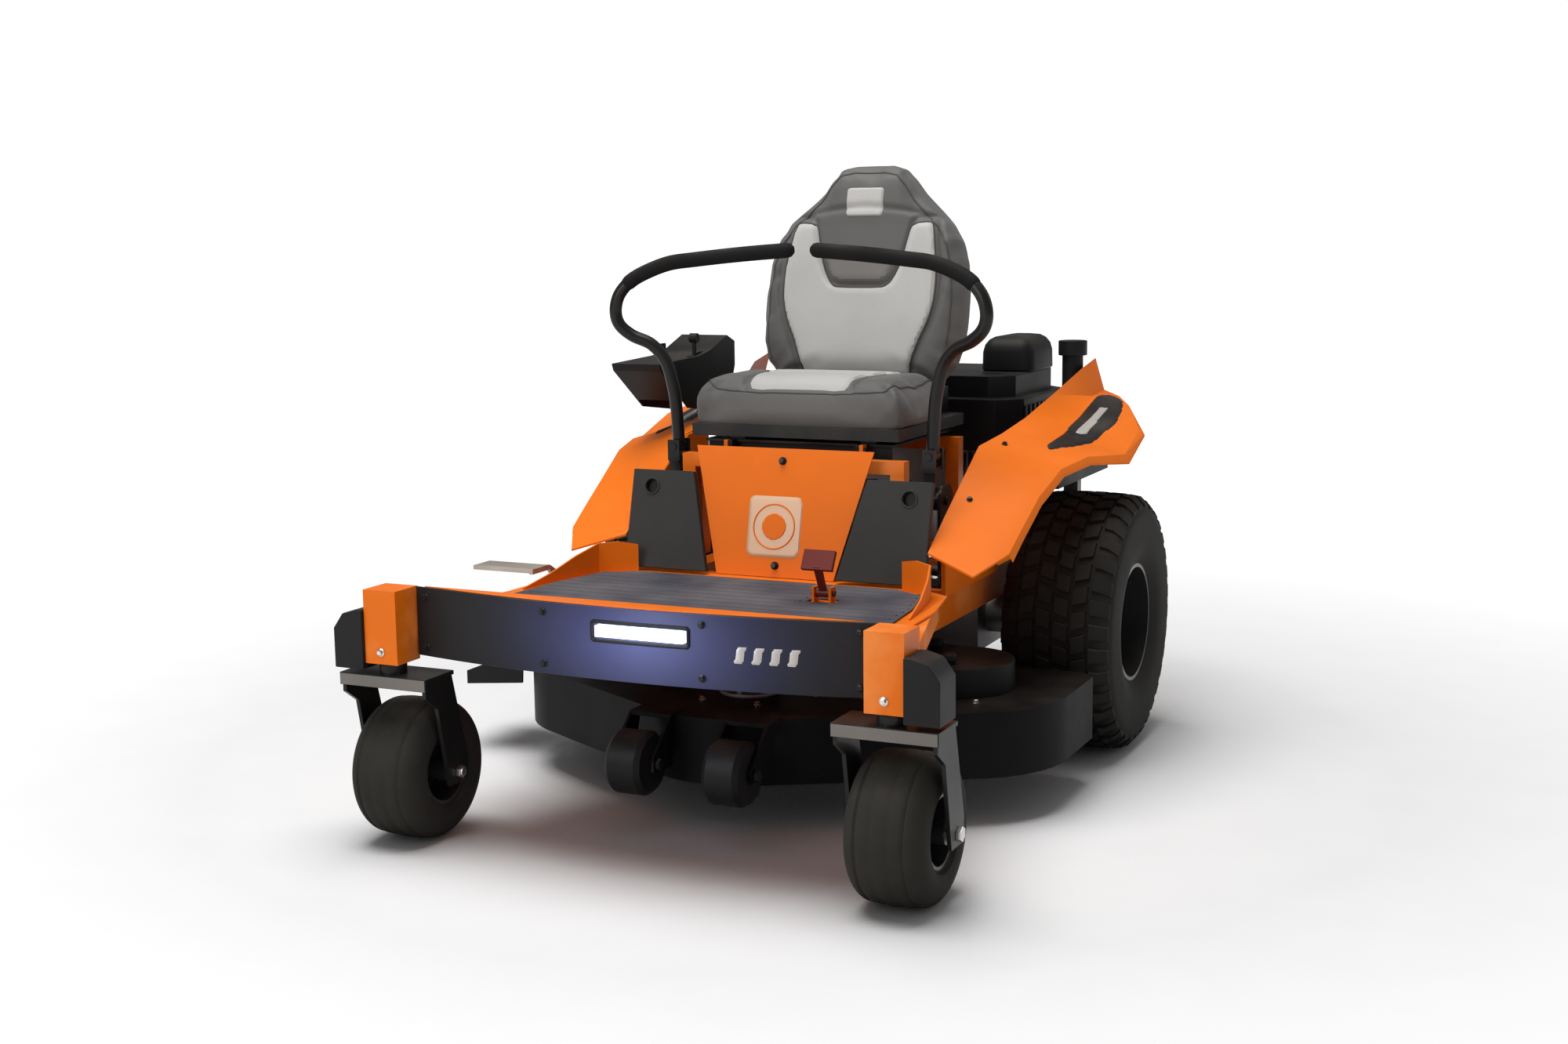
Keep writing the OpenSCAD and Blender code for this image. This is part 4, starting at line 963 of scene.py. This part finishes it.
low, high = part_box("headlight")
BEZEL_GAP = 0.007
corners = rectangle(low.x - BEZEL_GAP - ORIGIN.x, low.z - BEZEL_GAP,
                    high.x + BEZEL_GAP - ORIGIN.x, high.z + BEZEL_GAP)
path = drape(rounded(dense(corners, 0.012), 1), panel_tree, from_front, 0.001, closed=True)
Shapes().tube(path, 0.0036, 8).piece("headlight_bezel", "chassis", "black_plastic")

# ---- body panels

PADS = Lean(-0.597, 0.448, 14.3)
CENTRE = Lean(-0.584, 0.4435, 12.2)


def circle(x, y, radius, steps=24):
    return [Vector((x + radius * math.cos(t), y + radius * math.sin(t))) for t in turns(steps)]


PAD_HOLE = (0.290, 0.172)
plugs, rims = Shapes(), Shapes()
for way in SIDES.values():
    hole = PADS.point(way * PAD_HOLE[0], PAD_HOLE[1])
    plugs.rod(0.0005, 0.004, 0.0148, hole, PADS.out, 24)
    rims.lathe([[0.0138, 0.0146], [0.0162, 0.0152], [0.0162, 0.0178], [0.0138, 0.0190]], hole,
               PADS.out, steps=32, closed=True)
plugs.piece("pad_hole_plugs", "chassis", "black_plastic")
rims.piece("pad_hole_rims", "chassis", "grey_plastic")

BADGE_X, BADGE_UP, BADGE_WIDE, BADGE_TALL = -0.008, 0.104, 0.062, 0.066
plate = rectangle(BADGE_X - BADGE_WIDE, BADGE_UP - BADGE_TALL, BADGE_X + BADGE_WIDE,
                  BADGE_UP + BADGE_TALL)
patch("centre_badge", rounded(dense(plate, 0.04), 2), centre_tree, CENTRE.ray, 0.0016, 0.002,
      "chassis", "badge", spacing=0.005)
patch("centre_badge_disc", circle(BADGE_X, BADGE_UP, 0.030), centre_tree, CENTRE.ray, 0.003,
      0.002, "chassis", "orange_plastic", spacing=0.004)
ring = drape(circle(BADGE_X, BADGE_UP, 0.046, 48), centre_tree, CENTRE.ray, 0.0016, closed=True)
Shapes().tube(ring, 0.0016, 8).piece("centre_badge_ring", "chassis", "orange_plastic")

INSERT = [(0.456, -0.235), (0.452, -0.062), (0.447, 0.065), (0.449, 0.2), (0.452, 0.262),
          (0.486, 0.270), (0.516, 0.215), (0.536, 0.09), (0.532, -0.01), (0.492, -0.19)]
LABEL = [(0.474, -0.055), (0.472, 0.145), (0.498, 0.155), (0.502, -0.045)]
for side, way in SIDES.items():
    fender_tree = tree_of(NODES["fender_" + side])
    insert, label = ([Vector((way * x, y)) for x, y in shape] for shape in (INSERT, LABEL))
    patch("fender_insert_" + side, rounded(insert, 1), fender_tree, from_above, 0.003, 0.003,
          "chassis", "black_plastic", spacing=0.008)
    patch("fender_label_" + side, rounded(dense(label, 0.02), 2), fender_tree, from_above,
          0.0042, 0.001, "chassis", "mark_grey", spacing=0.005)


def bolts(name, body, on, starts, direction, size, look="bright_steel"):
    """Bolt heads where rays from these places, and their mirror images, meet a CAD node."""
    target = tree_of(NODES[on])
    shapes = Shapes()
    for x, y, z in starts:
        for way in (1, -1) if x else (1,):
            ray = Vector((direction[0] * way, direction[1], direction[2]))
            hit, normal = target.ray_cast(at(way * x, y, z), ray)[:2]
            if hit is not None:
                shapes.bolt(hit, normal if normal.dot(ray) < 0 else -normal, size)
    shapes.piece(name, body, look)


BACKWARD, DOWN = (0, 1, 0), (0, 0, -1)
bolts("front_panel_bolts", "chassis", "front_panel",
      [(x, -1.6, z) for x in (0.16, 0.44) for z in (0.385, 0.480)], BACKWARD, 0.0055,
      "black_paint")
bolts("housing_bolts", "chassis", "main_frame", [(0.505, -1.6, 0.38)], BACKWARD, 0.006)
bolts("bracket_bolts", "chassis", "lever_brackets",
      [(0.6, y, z) for y in (-0.464, -0.416) for z in (0.445, 0.50)], (-1, 0, 0), 0.006)
for name, side in (("fender_bolts", "left"), ("fender_right_bolts", "right")):
    bolts(name, "chassis", "fender_" + side, [(0.375, -0.45, 1), (0.385, -0.26, 1)], DOWN, 0.005,
          "black_paint")
bolts("rear_guard_bolts", "chassis", "rear_guard",
      [(0.296, 1.0, z) for z in (0.40, 0.46, 0.60)], (0, -1, 0), 0.007)
bolts("deck_bolts", "deck", "deck_shell",
      [(0.18, -0.56, 0.3), (0.25, -0.66, 0.3), (0.45, -0.625, 0.3), (0.06, -0.80, 0.3)], DOWN,
      0.006)
centre_bolts = Shapes()
for along in (0.024, 0.240):
    centre_bolts.bolt(CENTRE.point(0, along, 0.0042), CENTRE.out, 0.0065)
centre_bolts.piece("centre_panel_bolts", "chassis", "black_paint")

MAT_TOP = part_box("floor_mat")[1].z - ORIGIN.z
MAT_FRONT, MAT_REAR, RIB_STEP = -1.015, -0.674, 0.034
PEDAL_Y, PEDAL_SPAN = -0.790, (0.160, 0.240)
RIB = [(-0.0045, 0), (0.0045, 0), (0.003, 0.0018), (-0.003, 0.0018)]
mat_ribs = Shapes()
for number in range(11):
    y = MAT_FRONT + RIB_STEP * number
    half = min(0.385, 0.352 - (y - MAT_REAR) * 0.22)
    spans = [(-half, half)]
    if abs(y - PEDAL_Y) < 0.035:
        spans = [(-half, PEDAL_SPAN[0]), (PEDAL_SPAN[1], half)]
    for ends in spans:
        mat_ribs.rings([[at(x, y + a, MAT_TOP - 0.0004 + b) for a, b in RIB] for x in ends])
mat_ribs.piece("floor_mat_ribs", "chassis", "rubber_mat", bevel=0.0004)

# a thin lighter strip over the front face of each caster fork's top plate: a painted highlight
# where that face catches the light
KINGPIN_X, HIGHLIGHT_HALF, HIGHLIGHT_LOW, HIGHLIGHT_HIGH = 0.505, 0.0955, 0.3120, 0.3335
for side, way in SIDES.items():
    left, right = way * KINGPIN_X - HIGHLIGHT_HALF, way * KINGPIN_X + HIGHLIGHT_HALF
    highlight_strip = [[at(p.x, y, p.y) for p in rectangle(left, HIGHLIGHT_LOW, right, HIGHLIGHT_HIGH)]
           for y in (-1.2422, -1.2434)]
    Shapes().rings(highlight_strip).piece("fork_front_highlight_" + side, "caster_" + side, "fork_front_highlight", "black_paint",
                              bevel=0.0004)

# ---- engine, tank and wiring


def rounded_box(shapes, low, high, corner, levels):
    """A box with round corners; a level is its height and how far its outline is drawn in."""
    rings = []
    for z, inset in levels:
        ring = []
        for cx, cy, start in ((high[0], high[1], 0), (low[0], high[1], 90),
                              (low[0], low[1], 180), (high[0], low[1], 270)):
            for k in range(7):
                turn = math.radians(start + 15 * k)
                sx, sy = (1 if cx == high[0] else -1), (1 if cy == high[1] else -1)
                radius = max(corner - inset, 0.002)
                ring.append(at(cx - sx * (inset + radius) + radius * math.cos(turn),
                               cy - sy * (inset + radius) + radius * math.sin(turn), z))
        rings.append(ring)
    shapes.rings(rings)


cover = Shapes()
rounded_box(cover, (0.160, 0.220), (0.290, 0.414), 0.034,
            [[0.8116, 0.003], [0.815, 0.0], [0.855, 0.001], [0.872, 0.006], [0.884, 0.016],
             [0.891, 0.030], [0.8935, 0.048]])
cover.piece("air_cover_look", "chassis", "black_plastic", replaces=["air_filter_cover"])
LOUVRE_LOW, LOUVRE_HIGH = 0.668, 0.742
louvres = Shapes()
for way in SIDES.values():
    for number in range(10):
        y = 0.125 + 0.032 * number
        outline = rectangle(y - 0.007, LOUVRE_LOW, y + 0.007, LOUVRE_HIGH)
        louvres.rings([[at(way * x, p.x, p.y) for p in outline] for x in (0.3055, 0.3095)])
for number in range(9):
    x = -0.20 + 0.05 * number
    outline = rectangle(x - 0.016, LOUVRE_LOW, x + 0.016, LOUVRE_HIGH)
    louvres.rings([[at(p.x, y, p.y) for p in outline] for y in (0.4795, 0.4832)])
louvres.piece("shroud_louvres", "chassis", "black_plastic", bevel=0.0015)
screen = Shapes()
spot = at(-0.060, 0.262, 0.846)
for radius in (0.022, 0.044, 0.066, 0.088, 0.110):
    screen.lathe([[-0.0005, radius - 0.003], [0.004, radius - 0.002], [0.004, radius + 0.002],
                  [-0.0005, radius + 0.003]], spot, (0, 0, 1), steps=48, closed=True)
for number in range(8):
    turn = math.pi * number / 4
    out = Vector((math.cos(turn), math.sin(turn), 0))
    screen.tube([spot + out * 0.02 + Vector((0, 0, 0.003)),
                 spot + out * 0.112 + Vector((0, 0, 0.003))], 0.0022, 8)
screen.piece("engine_screen", "chassis", "black_plastic")


def lead(shapes, path, radius, start=None, way=1):
    """A bent lead through places counted from start, or from the origin; way -1 mirrors it."""
    if start is None:
        points = [at(way * x, y, z) for x, y, z in path]
    else:
        points = [start + Vector((way * x, y, z)) for x, y, z in path]
    shapes.tube(smooth_path(points), radius, 10)


SPARK_LEAD = [(0.291, 0.262, 0.575), (0.318, 0.262, 0.580), (0.330, 0.250, 0.604),
              (0.322, 0.222, 0.632), (0.296, 0.205, 0.646)]
FUEL_LINE = [(0.362, 0.10, 0.600), (0.345, 0.12, 0.596), (0.330, 0.15, 0.610),
             (0.318, 0.18, 0.640), (0.302, 0.20, 0.655)]
KEY_WIRE = [(-0.395, -0.150, 0.735), (-0.380, -0.120, 0.690), (-0.360, -0.04, 0.650),
            (-0.335, 0.06, 0.640), (-0.300, 0.10, 0.660)]
BATTERY_CABLE = [(0, 0.004, 0.008), (0.01, 0.05, 0.016), (0.05, 0.13, 0.0), (0.07, 0.24, -0.04),
                 (0.06, 0.40, -0.05)]
leads = Shapes()
for way in SIDES.values():
    lead(leads, SPARK_LEAD, 0.0042, way=way)
    leads.tube([at(way * 0.289, 0.262, 0.575), at(way * 0.322, 0.262, 0.579)], 0.009, 14)
lead(leads, FUEL_LINE, 0.0045)
lead(leads, KEY_WIRE, 0.003)
leads.piece("engine_leads", "chassis", "belt_rubber")

battery_low, battery_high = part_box("battery")
posts, cables = Shapes(), Shapes()
for way in SIDES.values():
    post = Vector((middle("battery").x + way * 0.066, battery_low.y + 0.035, battery_high.z))
    posts.lathe([[0, 0.008], [0.012, 0.0075], [0.013, 0.006]], post, (0, 0, 1), steps=20)
    lead(cables, BATTERY_CABLE, 0.0045, post, way)
posts.piece("battery_posts", "chassis", "bright_steel")
cables.piece("battery_cables", "chassis", "belt_rubber")

# ---- seat support and deck fittings

SKIRT_HALF, SKIRT_STEPS = 0.21, 20
SKIRT_TOP, SKIRT_LOW, SKIRT_WAVE = 0.7065, 0.668, 0.002
across = [SKIRT_HALF * (1 - 2 * k / SKIRT_STEPS) for k in range(SKIRT_STEPS + 1)]
skirt = [[at(x, y, SKIRT_TOP) for x in across]
         + [at(-x, y, SKIRT_LOW + SKIRT_WAVE * (k % 2)) for k, x in enumerate(across)]
         for y in (-0.4585, -0.4555)]
Shapes().rings(skirt).piece("seat_plate_skirt", "seat_tilt_plate", "belt_rubber", bevel=0.0008)

knobs = Shapes()
cover_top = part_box("belt_covers")[1].z
for way in SIDES.values():
    for x, y in ((0.372, -0.560), (0.300, -0.440)):
        spot = at(way * x, y, cover_top)
        knobs.lathe([[-0.001, 0.013], [0.005, 0.013], [0.008, 0.017], [0.018, 0.016],
                     [0.021, 0.012]], spot, (0, 0, 1), steps=10)
knobs.piece("belt_cover_knobs", "deck", "black_plastic", bevel=0.001)

SPINDLES = [(0.372, -0.500), (-0.372, -0.500), (0.0, -0.705)]
BOLT_CIRCLE = 0.050
spindle_bolts = Shapes()
flange_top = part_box("spindle_housings")[1].z - 0.012
for x, y in SPINDLES:
    for number in range(6):
        turn = math.pi * (number + 0.5) / 3
        spot = at(x + BOLT_CIRCLE * math.cos(turn), y + BOLT_CIRCLE * math.sin(turn), flange_top)
        spindle_bolts.bolt(spot, (0, 0, 1), 0.0055)
spindle_bolts.piece("spindle_bolts", "deck", "bright_steel")

COIL_RADIUS, COIL_RISE, COIL_STEPS, COIL_Z = 0.0095, 0.0006, 20, 0.224
hinge_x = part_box("discharge_chute")[1].x - 0.006
hinge_y = middle("discharge_chute").y - 0.05
coil = []
for number in range(7 * COIL_STEPS + 1):
    turn = 2 * math.pi * number / COIL_STEPS
    coil.append(Vector((hinge_x + COIL_RADIUS * math.cos(turn), hinge_y + COIL_RISE * number,
                        COIL_Z + COIL_RADIUS * math.sin(turn))))
Shapes().tube(coil, 0.0014, 6).piece("chute_spring", "deck", "bright_steel")

for side, way in SIDES.items():
    start = middle("rear_tyre_" + side) + Vector((way * 0.052, 0.070, 0.070))
    Shapes().tube([start, start + Vector((way * 0.022, 0.004, 0.004))], 0.004, 10).piece(
        "tyre_valve_" + side, "rear_wheel_" + side, "belt_rubber")

# ---- floor, lights and camera

FLOOR_HALF = 30.0
FADE_START, FADE_END, FADE_GAIN = 1.3, 4.5, 0.90
floor_mesh = bpy.data.meshes.new("floor")
corners = rectangle(-FLOOR_HALF, -FLOOR_HALF, FLOOR_HALF, FLOOR_HALF)
floor_mesh.from_pydata([(p.x, p.y, 0) for p in corners], [], [(0, 1, 2, 3)])
floor = show("floor", floor_mesh)
floor.location.z = CAD_BOX[0].z - 0.0005
floor_look = surface("floor", (0.88, 0.88, 0.88), 0.7, mottle=0.005, dust=0.0)
floor_mesh.materials.append(floor_look)
floor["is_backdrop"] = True
# the floor glows more and more with distance, so that it runs into the white background
tree = floor_look.node_tree
place = node(tree, "ShaderNodeNewGeometry").outputs["Position"]
reach = node(tree, "ShaderNodeVectorMath", {0: place}, operation="LENGTH").outputs["Value"]
fade = math_node(tree, "MULTIPLY", ramp(tree, reach, FADE_START, FADE_END), FADE_GAIN)
glow(floor_look, fade, WHITE)


def area_light(name, place, target, size, power, color=(1, 1, 1)):
    light = bpy.data.lights.new(name, "AREA")
    light.size = size
    light.energy = power
    light.color = color
    lamp = show(name, light)
    lamp.location = at(*place)
    lamp.rotation_mode = "QUATERNION"
    lamp.rotation_quaternion = (at(*target) - at(*place)).to_track_quat("-Z", "Y")
    return lamp


area_light("key", (-0.4, -0.9, 4.8), (0, -0.3, 0), 3.4, 238)
front_light = area_light("front", (-1.6, -4.6, 2.4), (0, -0.4, 0.6), 2.6, 90)
rim_light = area_light("rim", (2.8, 2.2, 2.6), (0, -0.3, 0.6), 2.0, 12)
halo_light = area_light("halo", (0.04, -1.36, 0.46), (0.04, -1.20, 0.30), 0.12, 0.6,
                        LED_COLOR[:3])

# all lights but the key light shine on the mower only, so the floor keeps a soft shadow
lit = bpy.data.collections.new("lit")
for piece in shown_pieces():
    lit.objects.link(piece)
for lamp in (front_light, rim_light, halo_light):
    lamp.light_linking.receiver_collection = lit

WORLD_LIGHT, BACKDROP_GAIN = 0.24, 0.82
world = bpy.data.worlds.new("studio")
bpy.context.scene.world = world
world.use_nodes = True
tree = world.node_tree
seen = node(tree, "ShaderNodeLightPath").outputs["Is Camera Ray"]
strength = math_node(tree, "MULTIPLY", seen, BACKDROP_GAIN)
strength = math_node(tree, "ADD", strength, WORLD_LIGHT)
feed(tree, tree.nodes["Background"], {"Strength": strength, "Color": WHITE})
bpy.context.scene.view_settings.view_transform = "Standard"

CAMERA_PLACE, CAMERA_ANGLES = (1.690, -4.182, 1.169), (24.9, 9.17, -0.68)
camera_data = bpy.data.cameras.new("camera")
camera_data.sensor_width = 36
camera_data.lens = 45.15
camera_data.shift_x = 0.00065
camera_data.shift_y = 0.0096
camera = show("camera", camera_data)
yaw, pitch, roll = (math.radians(angle) for angle in CAMERA_ANGLES)
sight = Vector((-math.sin(yaw) * math.cos(pitch), math.cos(yaw) * math.cos(pitch),
                -math.sin(pitch)))
camera.rotation_mode = "QUATERNION"
camera.rotation_quaternion = sight.to_track_quat("-Z", "Y") @ Quaternion((0, 0, 1), roll)
camera.location = at(*CAMERA_PLACE)
bpy.context.scene.camera = camera
